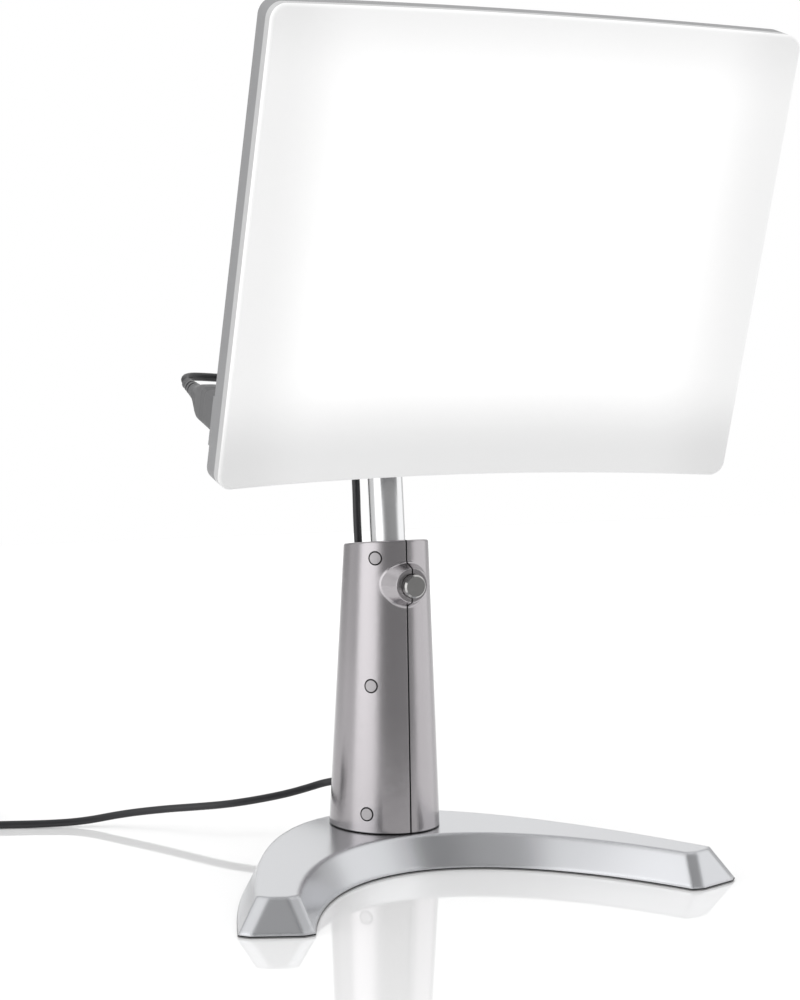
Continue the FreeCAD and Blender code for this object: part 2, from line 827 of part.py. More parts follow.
def seam_reveal_cut():
    """The shadow line along the seam: a shallow groove in the outer skin."""
    depth = size("seam_reveal_depth")
    half = size("seam_reveal") / 2
    outer = column_solid(BASE_TOP - 1, COLUMN_TOP + 1, -30)
    outer = outer.cut(column_solid(BASE_TOP - 1, COLUMN_TOP + 1, depth))
    groove = outer.common(block(-half, half, -90, 90, 0, COLUMN_TOP + 2))
    boss = button_boss()
    inner_boss = boss.copy()
    inner_boss.translate(Vector(0, depth, 0))
    return groove.cut(inner_boss)


def foot_reveal_cut():
    """The shadow line round the column's foot: a shallow step over the base."""
    high = BASE_TOP + size("foot_reveal")
    outer = column_solid(BASE_TOP - 1, high, -5)
    return outer.cut(column_solid(BASE_TOP - 2, high + 1, size("foot_reveal_depth")))


def make_column_fasteners():
    screws = []
    for row, (height, place_y) in enumerate(screw_rows()):
        head_x = screw_head_x(row)
        if row == 1:
            tip_x = guide_lug_x() + 2.8
        else:
            tip_x = skin_x(place_y, height) - 6
        start = Vector(head_x, place_y, height)
        head = cylinder(size("screw_head_radius"), start, X_AXIS, size("screw_head_height"))
        shank = cylinder(size("screw_radius"), start, X_AXIS, tip_x - head_x)
        slot = block(head_x - 1, head_x + 1, place_y - 0.4, place_y + 0.4, height - 2.2,
                     height + 2.2)
        screws.append(head.fuse(shank).cut(slot))
    feature("column_screws", joined(screws))

    skin = column_solid(BASE_TOP, COLUMN_TOP, -0.3)
    caps = []
    for row in range(3):
        inner = cap_centre(row) - cap_axis() * size("cap_thickness")
        caps.append(largest(cylinder(size("cap_radius"), inner, cap_axis(), 12).common(skin)))
    feature("screw_caps", joined(caps))


def guide_lug_x():
    """The lug's outer end, under the web that the middle screw's head bears on."""
    return screw_head_x(1) + size("screw_head_height") + size("column_wall")


def guide_screw_boss(gap=0.0):
    """The lug on the mast guide that the middle screw holds."""
    height, place_y = screw_rows()[1]
    return cylinder(size("guide_lug_radius") + gap,
                    Vector(guide_lug_x() - gap, place_y, height), X_AXIS,
                    size("guide_lug_length") + gap)


def make_guides():
    gap = size("seat_gap")
    bore = size("tube_radius") + size("slide_gap")
    low = UPPER_GUIDE_TOP - size("upper_guide_height") + gap
    high = UPPER_GUIDE_TOP - gap
    tube = mast_cylinder(GUIDE_RADIUS, low, high).cut(mast_cylinder(bore, low - 20, high + 20))
    feature("upper_mast_guide", tube.common(block(-60, 60, -60, 60, low, high)))

    low = guide_foot() + gap
    high = GUIDE_TOP - gap
    sleeve = mast_cylinder(GUIDE_RADIUS, low, high).fuse(guide_screw_boss())
    sleeve = sleeve.cut(mast_cylinder(bore, low - 20, high + 20))
    step = low + size("guide_counterbore")
    wide = cylinder(size("tube_radius") + size("collar_lip") + size("moving_gap"),
                    MAST_TOP + MAST_DIR * ((step - COLUMN_TOP) / math.cos(LEAN)), -MAST_DIR, 90)
    height, place_y = screw_rows()[1]
    hole = cylinder(size("screw_radius") + gap, Vector(-30, place_y, height), X_AXIS, 20)
    sleeve = sleeve.cut(wide).cut(hole)
    feature("lower_mast_guide", sleeve.common(block(-60, 60, -60, 60, low, high)))


def inner_skin_y(x, z):
    """How far back the column's inner face lies at a place beside its middle."""
    wide = column_half_width(z) - size("column_wall")
    deep = column_half_depth(z) - size("column_wall")
    return deep * math.sqrt(1 - (x / wide) ** 2)


def grommet_radius():
    return size("cord_radius") + 3


def make_grommet():
    """The cord's strain relief: a collar held in the back wall and a ridged taper outside."""
    exit_z = BASE_TOP + size("cord_exit_height")
    radius = grommet_radius()
    start_y = inner_skin_y(radius + 2.5, exit_z) - size("seat_gap") - 2.2
    skin = column_half_depth(exit_z) - start_y
    bore = "cord_radius + seat_gap"
    corners = [(bore, "0"), (number(radius + 2.5), "0"), (number(radius + 2.5), "2.2"),
               (number(radius), "2.2"), (number(radius), number(skin + 0.6)),
               (number(radius + 1.6), number(skin + 0.6)),
               (number(radius + 1.6), number(skin + 2.2))]
    for ridge in range(4):
        low = skin + 6 + ridge * 3.2
        proud = number(radius - 0.3 - ridge * 0.5)
        groove = number(radius - 1.1 - ridge * 0.3)
        if ridge == 0:
            corners.append((proud, number(skin + 2.2)))
        else:
            corners.append((proud, number(low - 2.0)))
        corners += [(proud, number(low)), (groove, number(low)), (groove, number(low + 1.2))]
    tip = number(size("cord_radius") + 1.0)
    corners += [(tip, number(skin + 20.0)), (bore, number(skin + 20.0))]
    turned("cord_grommet", corners,
           Placement(Vector(0, start_y, exit_z), Rotation(X_AXIS, -90)))


# ----------------------------------------------------------------------------------------
# Release: a button, a plate round the mast and a return spring
# ----------------------------------------------------------------------------------------
def make_release():
    skin = column_half_depth(BUTTON_Z)
    face_y = -skin - size("button_face_out")
    plate_front = mast_y(BUTTON_Z) - size("tube_radius") - size("button_stroke") - 5.5
    turned("release_button", [
        ("0", "0"),
        ("button_radius - button_bevel", "0"),
        ("button_radius", "button_bevel"),
        ("button_radius", "14"),
        ("stem_radius", "14"),
        ("stem_radius", "%s" % round(plate_front - face_y, 6)),
        ("0", "%s" % round(plate_front - face_y, 6)),
    ], Placement(Vector(0, face_y, BUTTON_Z), Rotation(X_AXIS, -90)))

    half = size("plate_half_width")
    axis_y = mast_y(BUTTON_Z)
    rear = axis_y + size("tube_radius") + 5.5
    low = BUTTON_Z - size("plate_thickness") / 2
    high = low + size("plate_thickness")
    body = block(-half, half, plate_front, rear, low, high)
    corners = [edge for edge in body.Edges if abs(edge.Length - size("plate_thickness")) < 1e-6]
    body = body.makeFillet(5.0, corners)
    hole_radius = size("tube_radius") + size("jaw_gap")
    lean_room = size("plate_thickness") / 2 * math.tan(LEAN)
    rear_centre = axis_y + lean_room
    front_centre = axis_y - size("button_stroke") - lean_room - size("jaw_gap")
    slot = cylinder(hole_radius, Vector(0, rear_centre, low - 1), Z_AXIS, high - low + 2)
    slot = slot.fuse(cylinder(hole_radius, Vector(0, front_centre, low - 1), Z_AXIS,
                              high - low + 2))
    slot = slot.fuse(block(-hole_radius, hole_radius, front_centre, rear_centre, low - 1,
                           high + 1))
    body = body.common(column_solid(low - 0.1, high + 0.1, size("column_wall") + 0.8))
    cord_room = cord_column_solid(size("cord_radius") + size("cord_hole_gap"))
    wider = cord_room.copy()
    wider.translate(Vector(0, -size("button_stroke"), 0))
    feature("lock_plate", body.cut(slot).cut(cord_room).cut(wider))

    spring_start = rear + size("seat_gap")
    wire = size("spring_wire")
    spring_end = inner_skin_y(size("spring_radius") + wire / 2, BUTTON_Z) - size("seat_gap")
    length = spring_end - spring_start - wire
    helix = Part.makeHelix(length / size("spring_turns"), length, size("spring_radius"))
    circle = Part.Wire(Part.makeCircle(wire / 2, Vector(size("spring_radius"), 0, 0), Y_AXIS))
    coil = Part.Wire(helix).makePipeShell([circle], True, True)
    coil.Placement = Placement(Vector(0, spring_start + wire / 2, BUTTON_Z),
                               Rotation(X_AXIS, -90))
    feature("button_spring", coil)


# ----------------------------------------------------------------------------------------
# Mast
# ----------------------------------------------------------------------------------------
def mast_path():
    """The tube's centreline: up along the lean, round the bend and forward to the fork."""
    foot = MAST_TOP - MAST_DIR * size("tube_foot_depth")
    corner = MAST_TOP + MAST_DIR * ((HINGE.z - COLUMN_TOP) / math.cos(LEAN))
    end = Vector(0, size("arm_end_y"), HINGE.z)
    return rounded_path([foot, corner, end], [size("bend_radius")])


def rounded_path(points, radii):
    """Straight runs joined by tangent arcs."""
    edges = []
    last = points[0]
    for index in range(1, len(points) - 1):
        here = points[index]
        incoming = (points[index - 1] - here).normalize()
        outgoing = (points[index + 1] - here).normalize()
        turn = math.pi - incoming.getAngle(outgoing)
        cut = radii[index - 1] * math.tan(turn / 2)
        start = here + incoming * cut
        finish = here + outgoing * cut
        toward = (incoming + outgoing).normalize()
        centre = here + toward * (radii[index - 1] / math.cos(turn / 2))
        middle = centre - toward * radii[index - 1]
        edges.append(Part.LineSegment(last, start).toShape())
        edges.append(Part.Arc(start, middle, finish).toShape())
        last = finish
    edges.append(Part.LineSegment(last, points[-1]).toShape())
    return Part.Wire(edges)


def swept(path, radius):
    start = path.OrderedVertexes[0].Point
    first = path.OrderedEdges[0]
    direction = first.tangentAt(first.FirstParameter)
    circle = Part.Wire(Part.makeCircle(radius, start, direction))
    return path.makePipeShell([circle], True, False)


def make_mast():
    path = mast_path()
    outer = swept(path, size("tube_radius"))
    inner = swept(path, size("tube_radius") - size("tube_wall"))
    feature("mast_tube", outer.cut(inner))

    inner_radius = "tube_radius - tube_wall - seat_gap"
    foot = MAST_TOP - MAST_DIR * size("tube_foot_depth")
    turned("tube_end_collar", [
        ("0", "0 - collar_height"),
        ("tube_radius + collar_lip", "0 - collar_height"),
        ("tube_radius + collar_lip", "0"),
        (inner_radius, "0"),
        (inner_radius, "14"),
        ("0", "14"),
    ], Placement(foot, MAST_PLACE.Rotation))

    radius = size("tube_radius")
    socket_radius = radius + size("socket_wall")
    cheek_inner = size("fork_gap") / 2
    cheek_outer = cheek_inner + size("cheek_thickness")
    back_y = size("arm_end_y") + size("socket_length") - 8
    front_y = size("arm_end_y") - 4
    body = cylinder(socket_radius, Vector(0, back_y, HINGE.z), -Y_AXIS, back_y - front_y)
    cheek_round = size("cheek_radius")
    for side in (-1, 1):
        low, high = sorted((side * cheek_inner, side * cheek_outer))
        cheek = block(low, high, HINGE.y, front_y + 2, HINGE.z - cheek_round,
                      HINGE.z + cheek_round)
        cheek = cheek.fuse(cylinder(cheek_round, Vector(low, HINGE.y, HINGE.z), X_AXIS,
                                    high - low))
        body = body.fuse(cheek)
    web = block(-cheek_outer, cheek_outer, front_y - 3, front_y + 2, HINGE.z - cheek_round,
                HINGE.z + cheek_round)
    body = body.fuse(web)
    body = body.cut(cylinder(radius + size("seat_gap"),
                             Vector(0, back_y + 1, HINGE.z), -Y_AXIS,
                             back_y + 1 - size("arm_end_y")))
    body = body.cut(cylinder(size("pin_radius") + size("seat_gap"),
                             Vector(-40, HINGE.y, HINGE.z), X_AXIS, 80))
    feature("mast_fork", body.removeSplitter())

    make_hinge_hardware(cheek_outer)
    make_cord_clip()


def make_hinge_hardware(cheek_outer):
    """The tilt pin, its nut and the two friction washers, all about the hinge's axis."""
    along_x = Rotation(Y_AXIS, 90)
    pin_end = "fork_gap + 2 * cheek_thickness + pin_head_height + pin_tail"
    turned("hinge_pin", [
        ("0", "0"),
        ("pin_head_radius - 1", "0"),
        ("pin_head_radius", "1"),
        ("pin_head_radius", "pin_head_height"),
        ("pin_radius", "pin_head_height"),
        ("pin_radius", pin_end),
        ("0", pin_end),
    ], Placement(HINGE - X_AXIS * (cheek_outer + size("pin_head_height")), along_x))

    nut_place = Placement(HINGE + X_AXIS * (cheek_outer + size("bearing_gap")), along_x)
    blank = primitive("Prism", "hinge_nut_blank",
                      {"Circumradius": "nut_radius", "Height": "nut_height"}, nut_place)
    blank.Polygon = 6
    bore = primitive("Cylinder", "hinge_nut_bore",
                     {"Radius": "pin_radius + 0.02", "Height": "nut_height"}, nut_place)
    keep(bored("hinge_nut", blank, [bore]))

    washers = []
    for side in (-1, 1):
        low = min(side * size("fork_gap") / 2,
                  side * (size("fork_gap") / 2 - size("washer_thickness")))
        place = Placement(HINGE + X_AXIS * low, along_x)
        name = "friction_washer_%s" % ("left" if side < 0 else "right")
        blank = primitive("Cylinder", name + "_blank",
                          {"Radius": "washer_radius", "Height": "washer_thickness"}, place)
        bore = primitive("Cylinder", name + "_bore",
                         {"Radius": "pin_radius + seat_gap", "Height": "washer_thickness"}, place)
        washers.append(bored(name, blank, [bore]))
    grouped("friction_washers", washers)


def make_cord_clip():
    """A moulded clip on the mast that holds the cord beside it."""
    above = size("clip_above_deck")
    tube = size("tube_radius") + size("seat_gap")
    cord = size("cord_radius") + size("seat_gap")
    base_point = Vector(0, 0, above - 6)
    cord_point = Vector(size("cord_mast_x"), size("cord_mast_y"), above - 6)
    body = cylinder(tube + 2.2, base_point, Z_AXIS, 12)
    body = body.fuse(cylinder(cord + 2.0, cord_point, Z_AXIS, 12))
    direction = (cord_point - base_point).normalize()
    across = Z_AXIS.cross(direction)
    reach = (cord_point - base_point).Length
    corners = [base_point + across * side * 3 + direction * along
               for side, along in ((1, tube), (-1, tube), (-1, reach - cord), (1, reach - cord))]
    web = Part.Face(Part.makePolygon(corners + corners[:1])).extrude(Z_AXIS * 12)
    body = body.fuse(web)
    body = body.cut(cylinder(tube, base_point - Z_AXIS, Z_AXIS, 14))
    body = body.cut(cylinder(cord, cord_point - Z_AXIS, Z_AXIS, 14))
    feature("cord_clip", body, MAST_PLACE)


# ----------------------------------------------------------------------------------------
# Head: every piece is drawn in the head's frame, with y = 0 at the panel's edges
# ----------------------------------------------------------------------------------------
def face_radius():
    half = PANEL_HALF_WIDTH
    rise = size("panel_sagitta")
    return (half * half + rise * rise) / (2 * rise)


def curved_slab(front, back, half_height):
    """A slab of concentric curve between two depths behind the chord plane."""
    radius = face_radius()
    centre = Vector(0, size("panel_sagitta") - radius, -half_height)
    outer = cylinder(radius + back, centre, Z_AXIS, 2 * half_height)
    inner = cylinder(radius + front, centre - Z_AXIS, Z_AXIS, 2 * half_height + 2)
    reach = size("panel_width")
    front_side = block(-reach, reach, -size("shell_depth"), 2 * size("shell_depth"),
                       -half_height, half_height)
    return front_side.common(outer).cut(inner)


def rounded_prism(half_width, half_height, corner, y_low, y_high):
    """A prism along Y with rounded corners."""
    body = block(-half_width, half_width, y_low, y_high, -half_height, half_height)
    edges = [edge for edge in body.Edges if abs(edge.Length - (y_high - y_low)) < 1e-6
             and abs(edge.tangentAt(edge.FirstParameter).y) > 0.99]
    return body.makeFillet(corner, edges)


def panel_layer(front, back, inset=0.0):
    """A slab with the panel's outline, shrunk by an inset."""
    half_width = PANEL_HALF_WIDTH - inset
    half_height = PANEL_HALF_HEIGHT - inset
    corner = max(size("panel_corner") - inset, 1.0)
    prism = rounded_prism(half_width, half_height, corner, -size("shell_depth"),
                          2 * size("shell_depth"))
    return curved_slab(front, back, PANEL_HALF_HEIGHT + 5).common(prism)


def frustum(half_width_low, half_height_low, y_low, half_width_high, half_height_high, y_high,
            corner):
    def section(half_width, half_height, y_place):
        body = rounded_prism(half_width, half_height, corner, y_place, y_place + 1)
        face = [face for face in body.Faces if abs(face.CenterOfMass.y - y_place) < 1e-6][0]
        return face.OuterWire
    return Part.makeLoft([section(half_width_low, half_height_low, y_low),
                          section(half_width_high, half_height_high, y_high)], True, True)


def make_diffuser():
    thick = size("diffuser_thickness")
    solid = panel_layer(-thick, 0)
    front_edges = [edge for edge in solid.Edges if is_front_edge(edge, -thick)]
    solid = solid.makeFillet(size("diffuser_edge_round"), front_edges)
    lip = panel_layer(0, 4, size("shell_wall") + 0.3)
    lip = lip.cut(panel_layer(-1, 5, size("shell_wall") + 2))
    feature("diffuser", solid.fuse(lip), HEAD_PLACE)


def is_front_edge(edge, depth):
    """Whether an edge lies on the curved surface at a depth."""
    radius = face_radius() + depth
    centre_y = size("panel_sagitta") - face_radius()
    for share in (0.0, 0.5, 1.0):
        first, last = edge.FirstParameter, edge.LastParameter
        point = edge.valueAt(first + (last - first) * share)
        if abs(math.hypot(point.x, point.y - centre_y) - radius) > 0.01:
            return False
    return True


def make_bezel():
    depth = size("bezel_depth")
    wall = size("shell_wall")
    solid = panel_layer(0, depth)
    solid = solid.cut(panel_layer(-1, depth + 1, wall))
    flange = panel_layer(depth - 2, depth, wall / 2).cut(panel_layer(0, depth + 2,
                                                                     size("bezel_flange")))
    solid = solid.fuse(flange)
    for start, normal in shell_screw_places():
        solid = solid.cut(cylinder(size("shell_screw_radius") + size("seat_gap"), start, -normal,
                                   size("rim_depth")))
    feature("bezel", solid, HEAD_PLACE)


def shell_outer(inset):
    """The back shell's outer form shrunk by an inset."""
    rim = panel_layer(size("bezel_depth"), size("rim_depth") - inset, inset)
    ledge = size("shell_ledge") + inset
    bulge = frustum(PANEL_HALF_WIDTH - ledge, PANEL_HALF_HEIGHT - ledge,
                    size("bulge_start"),
                    PLATEAU_HALF_WIDTH - inset, PLATEAU_HALF_HEIGHT - inset,
                    size("shell_depth") - inset, size("bulge_corner") - inset)
    bulge = bulge.cut(curved_slab(-40, size("bezel_depth"), size("panel_height")))
    return rim.fuse(bulge)


def vent_slots():
    """Rows of cooling slots near the top and the bottom of the plateau."""
    slots = []
    depth = size("shell_depth")
    length = size("vent_length")
    height = size("vent_height")
    spacing = size("vent_spacing")
    columns = int((PLATEAU_HALF_WIDTH - length / 2) // spacing)
    switch_side = size("switch_x") - size("switch_half_length") - length
    for row in (-1, 1):
        for column in range(-columns, columns + 1):
            for line in range(int(size("vent_rows"))):
                middle_x = column * spacing
                middle_z = row * (PLATEAU_HALF_HEIGHT - size("vent_inset")
                                  - line * size("vent_pitch"))
                if row < 0 and middle_x > switch_side:
                    continue
                slots.append(block(middle_x - length / 2, middle_x + length / 2, depth - 6,
                                   depth + 2, middle_z - height / 2, middle_z + height / 2))
    return slots


def inlet_block(grow, y_low, y_high):
    return block(INLET_X - size("inlet_half_width") - grow,
                 INLET_X + size("inlet_half_width") + grow, y_low, y_high,
                 INLET_Z - size("inlet_half_height") - grow,
                 INLET_Z + size("inlet_half_height") + grow)


def shell_screw_places():
    """The head and the outward direction of each screw that clamps the shell to the bezel."""
    inset = size("shell_screw_inset")
    far_x = PANEL_HALF_WIDTH - inset
    far_z = PANEL_HALF_HEIGHT - inset
    radius = face_radius() + size("rim_depth")
    centre_y = size("panel_sagitta") - face_radius()
    places = []
    for side in (-1, 1):
        for other in (-1, 1):
            places.append((side * far_x, other * far_z * 0.55))
            places.append((other * far_x * 0.48, side * far_z))
    rows = []
    for place_x, place_z in places:
        normal = Vector(place_x, math.sqrt(radius ** 2 - place_x ** 2), 0).normalize()
        rows.append((Vector(0, centre_y, place_z) + normal * radius, normal))
    return rows


def make_back_shell():
    wall = size("shell_wall")
    solid = shell_outer(0)
    hollow = shell_outer(wall).fuse(panel_layer(0, size("rim_depth") - wall, wall))
    face = size("inlet_face")
    solid = solid.fuse(inlet_block(wall, size("rim_depth") - wall / 2, face)).cut(hollow)
    solid = solid.cut(inlet_block(0, size("rim_depth"), face - wall))
    solid = solid.cut(inlet_block(-size("inlet_ledge"), face - wall - 1, face + 1))
    for slot in vent_slots():
        solid = solid.cut(slot)
    for start, normal in shell_screw_places():
        solid = solid.cut(cylinder(size("shell_screw_radius") + size("seat_gap"),
                                   start + normal, -normal, 6))
    switch_x, switch_z = size("switch_x"), size("switch_z")
    half_w = size("switch_half_width") + 1.6
    half_l = size("switch_half_length") + 1.6
    depth = size("shell_depth")
    solid = solid.cut(block(switch_x - half_l, switch_x + half_l, depth - 8, depth + 5,
                            switch_z - half_w, switch_z + half_w))
    for place_x, place_z in hinge_screw_places():
        solid = solid.cut(cylinder(size("plate_screw_radius") + size("seat_gap"),
                                   Vector(place_x, depth - 6, place_z), Y_AXIS, 12))
    feature("back_shell", largest(solid.removeSplitter()), HEAD_PLACE)


def hinge_screw_places():
    below = -size("hinge_below_centre")
    return [(x * 34, below + z * 22) for x in (-1, 1) for z in (-1, 1)]


def make_head_hinge():
    """The plate and knuckle on the head's back, with the screws that hold them."""
    depth = size("shell_depth")
    below = -size("hinge_below_centre")
    plate_body = block(-42, 42, depth, depth + 4, below - 30, below + 30)
    plate_body = plate_body.makeFillet(8, [edge for edge in plate_body.Edges
                                           if abs(edge.Length - 4) < 1e-6])
    half = size("fork_gap") / 2 - size("washer_thickness") - size("bearing_gap")
    pivot = Vector(-half, HINGE_DEPTH, below)
    knuckle = cylinder(size("knuckle_radius"), pivot, X_AXIS, 2 * half)
    stem = block(-half, half, depth + 2, HINGE_DEPTH, below - size("knuckle_radius"),
                 below + size("knuckle_radius"))
    body = plate_body.fuse([knuckle, stem])
    body = body.cut(cylinder(size("pin_radius") + size("bearing_gap"),
                             Vector(-40, HINGE_DEPTH, below), X_AXIS, 80))
    for place_x, place_z in hinge_screw_places():
        body = body.cut(cylinder(size("plate_screw_radius") + size("seat_gap"),
                                 Vector(place_x, depth - 1, place_z), Y_AXIS, 12))
    feature("hinge_plate", body.removeSplitter(), HEAD_PLACE)
    make_hinge_backing()
    screws = []
    for place_x, place_z in hinge_screw_places():
        head = Part.makeCone(3.2, 2.4, 2.0, Vector(place_x, depth + 4, place_z), Y_AXIS)
        shank = cylinder(size("plate_screw_radius"), Vector(place_x, depth - 5.5, place_z),
                         Y_AXIS, 10)
        slot = block(place_x - 0.4, place_x + 0.4, depth + 5.2, depth + 7, place_z - 2,
                     place_z + 2)
        cross = block(place_x - 2, place_x + 2, depth + 5.2, depth + 7, place_z - 0.4,
                      place_z + 0.4)
        screws.append(head.fuse(shank).cut(slot).cut(cross))
    feature("hinge_plate_screws", joined(screws), HEAD_PLACE)


def make_hinge_backing():
    """The steel plate inside the shell that the hinge's screws are driven into."""
    front = size("shell_depth") - size("shell_wall") - size("backing_thickness")
    corner = Vector(-size("backing_width") / 2, front,
                    -size("hinge_below_centre") - size("backing_height") / 2)
    blank = primitive("Box", "hinge_backing_blank",
                      {"Length": "backing_width", "Width": "backing_thickness",
                       "Height": "backing_height"},
                      HEAD_PLACE.multiply(Placement(corner, Rotation())))
    drills = []
    for index, (place_x, place_z) in enumerate(hinge_screw_places()):
        place = Placement(Vector(place_x, front - 1, place_z), Rotation(X_AXIS, -90))
        drills.append(primitive("Cylinder", "hinge_backing_drill_%d" % index,
                                {"Radius": "plate_screw_radius + seat_gap",
                                 "Height": "backing_thickness + 2"},
                                HEAD_PLACE.multiply(place)))
    keep(bored("hinge_backing_plate", blank, drills))


def make_reflector():
    """A folded sheet tray behind the lamps; its flared edges rest in the shell's slope.

    One corner is notched round the inlet."""
    depth = size("reflector_depth")
    gauge = size("reflector_gauge")
    front = size("reflector_front")
    wide, high = shell_inner_half_sizes(front)
    wide -= size("seat_gap")
    high -= size("seat_gap")
    flare = size("reflector_flare")
    slope = flare / (depth + gauge - front)
    corner = size("bulge_corner") - size("shell_wall")
    outer = frustum(wide, high, front, wide - flare, high - flare, depth + gauge, corner)
    inner = frustum(wide - gauge + slope, high - gauge + slope, front - 1,
                    wide - gauge - flare + slope * gauge, high - gauge - flare + slope * gauge,
                    depth, corner - gauge)
    notch = inlet_block(1.0, front, size("inlet_face"))
    feature("reflector", largest(outer.cut(inner).cut(notch)), HEAD_PLACE)


def shell_inner_half_sizes(depth):
    """The half width and half height of the shell's inside at a depth behind the panel."""
    wall = size("shell_wall")
    ledge = size("shell_ledge") + wall
    share = (depth - size("bulge_start")) / (size("shell_depth") - wall - size("bulge_start"))
    wide = PANEL_HALF_WIDTH - ledge
    high = PANEL_HALF_HEIGHT - ledge
    return (wide + (PLATEAU_HALF_WIDTH - wall - wide) * share,
            high + (PLATEAU_HALF_HEIGHT - wall - high) * share)


def lamp_heights():
    return [size("lamp_pitch") * row for row in (1, 0, -1)]


def make_lamps():
    """Three twin-tube fluorescent lamps, each in its own socket and clip."""
    radius = size("lamp_glass_radius")
    depth = size("lamp_depth")
    length = LAMP_LENGTH
    start_x = LAMP_START_X
    wall = size("lamp_glass_wall")
    sockets = []
    clips = []
    for name, place_z in zip(("top", "middle", "bottom"), lamp_heights()):
        glass = []
        for side in (-1, 1):
            centre = Vector(start_x, depth, place_z + side * size("lamp_glass_spacing") / 2)
            tube = cylinder(radius, centre, X_AXIS, length)
            tube = tube.makeFillet(radius * 0.6, [edge for edge in tube.Edges
                                                  if edge.BoundBox.XMin > start_x + length / 2])
            bore = cylinder(radius - wall, centre + X_AXIS * wall, X_AXIS, length - radius)
            glass.append(tube.cut(bore))
        bridge = cylinder(3.5, Vector(start_x + length - 10, depth,
                                      place_z - size("lamp_glass_spacing") / 2 + radius - wall),
                          Z_AXIS, size("lamp_glass_spacing") - 2 * (radius - wall))
        holder = block(start_x - size("lamp_base_length"), start_x, depth - 9.5, depth + 9.5,
                       place_z - 20, place_z + 20)
        lamp = glass[0].fuse([glass[1], bridge, holder])
        pins = [cylinder(1.2, Vector(start_x - size("lamp_base_length") - 6, depth,
                                     place_z + offset), X_AXIS, 6) for offset in (-6, -2, 2, 6)]
        lamp = lamp.fuse(pins)
        feature("lamp_" + name, lamp, HEAD_PLACE)
        sockets.append(lamp_socket(start_x - size("lamp_base_length"), depth, place_z))
        clips.append(lamp_clip(start_x + length - 50, depth, place_z))
    feature("lamp_sockets", joined(sockets), HEAD_PLACE)
    feature("lamp_clips", joined(clips), HEAD_PLACE)


def lamp_socket(face_x, depth, place_z):
    body = block(face_x - 9, face_x - 0.1, depth - 9, size("reflector_depth") - 0.1,
                 place_z - 19, place_z + 19)
    for offset in (-6, -2, 2, 6):
        body = body.cut(cylinder(1.4, Vector(face_x - 7, depth, place_z + offset), X_AXIS, 8))
    return body


def lamp_clip(place_x, depth, place_z):
    """A spring clip that holds the lamp's far end off the reflector."""
    radius = size("lamp_glass_radius")
    back = size("reflector_depth") - 0.1
    body = block(place_x - 4, place_x + 4, depth, back, place_z - 21, place_z + 21)
    for side in (-1, 1):
        centre = Vector(place_x - 6, depth, place_z + side * size("lamp_glass_spacing") / 2)
        body = body.cut(cylinder(radius + 0.1, centre, X_AXIS, 12))
    return largest(body)


def make_ballast():
    """The lamps' electronic ballast: a closed case between the reflector and the shell."""
    front = size("reflector_depth") + size("reflector_gauge") + 0.2
    corner = Vector(size("driver_inset") - PLATEAU_HALF_WIDTH, front,
                    -size("driver_below") - size("driver_height") / 2)
    case = primitive("Box", "electronic_ballast",
                     {"Length": "driver_length",
                      "Width": "shell_depth - shell_wall - 0.2 - " + number(front),
                      "Height": "driver_height"},
                     HEAD_PLACE.multiply(Placement(corner, Rotation())))
    keep(case)


def make_inlet():
    """The mains inlet: a socket with three pins in the shell's corner."""
    face = size("inlet_face")
    gap = size("seat_gap")
    ledge_inner = face - size("shell_wall") - gap
    body = inlet_block(-size("inlet_ledge") - gap, face - 24, face)
    body = body.fuse(inlet_block(-gap, ledge_inner - 2, ledge_inner))
    nose = plug_nose(0.3, face - 19.6, face + 1)
    body = body.cut(nose)
    pins = []
    for offset_z, offset_x in ((7, 0), (-7, 0), (0, 2.4)):
        pins.append(block(INLET_X + offset_x - 1.0, INLET_X + offset_x + 1.0,
                          face - 20, face - 6, INLET_Z + offset_z - 2,
                          INLET_Z + offset_z + 2))
    feature("inlet_socket", body.fuse(pins), HEAD_PLACE)


def plug_nose(grow, y_low, y_high):
    return block(INLET_X - size("plug_nose_half_width") - grow,
                 INLET_X + size("plug_nose_half_width") + grow, y_low, y_high,
                 INLET_Z - size("plug_nose_half_height") - grow,
                 INLET_Z + size("plug_nose_half_height") + grow)


def connector_section(half_width, half_height, corner, y_place):
    body = rounded_prism(half_width, half_height, corner, y_place, y_place + 1)
    face = [face for face in body.Faces if abs(face.CenterOfMass.y - y_place) < 1e-6][0]
    wire = face.OuterWire
    wire.translate(Vector(INLET_X, 0, INLET_Z))
    return wire


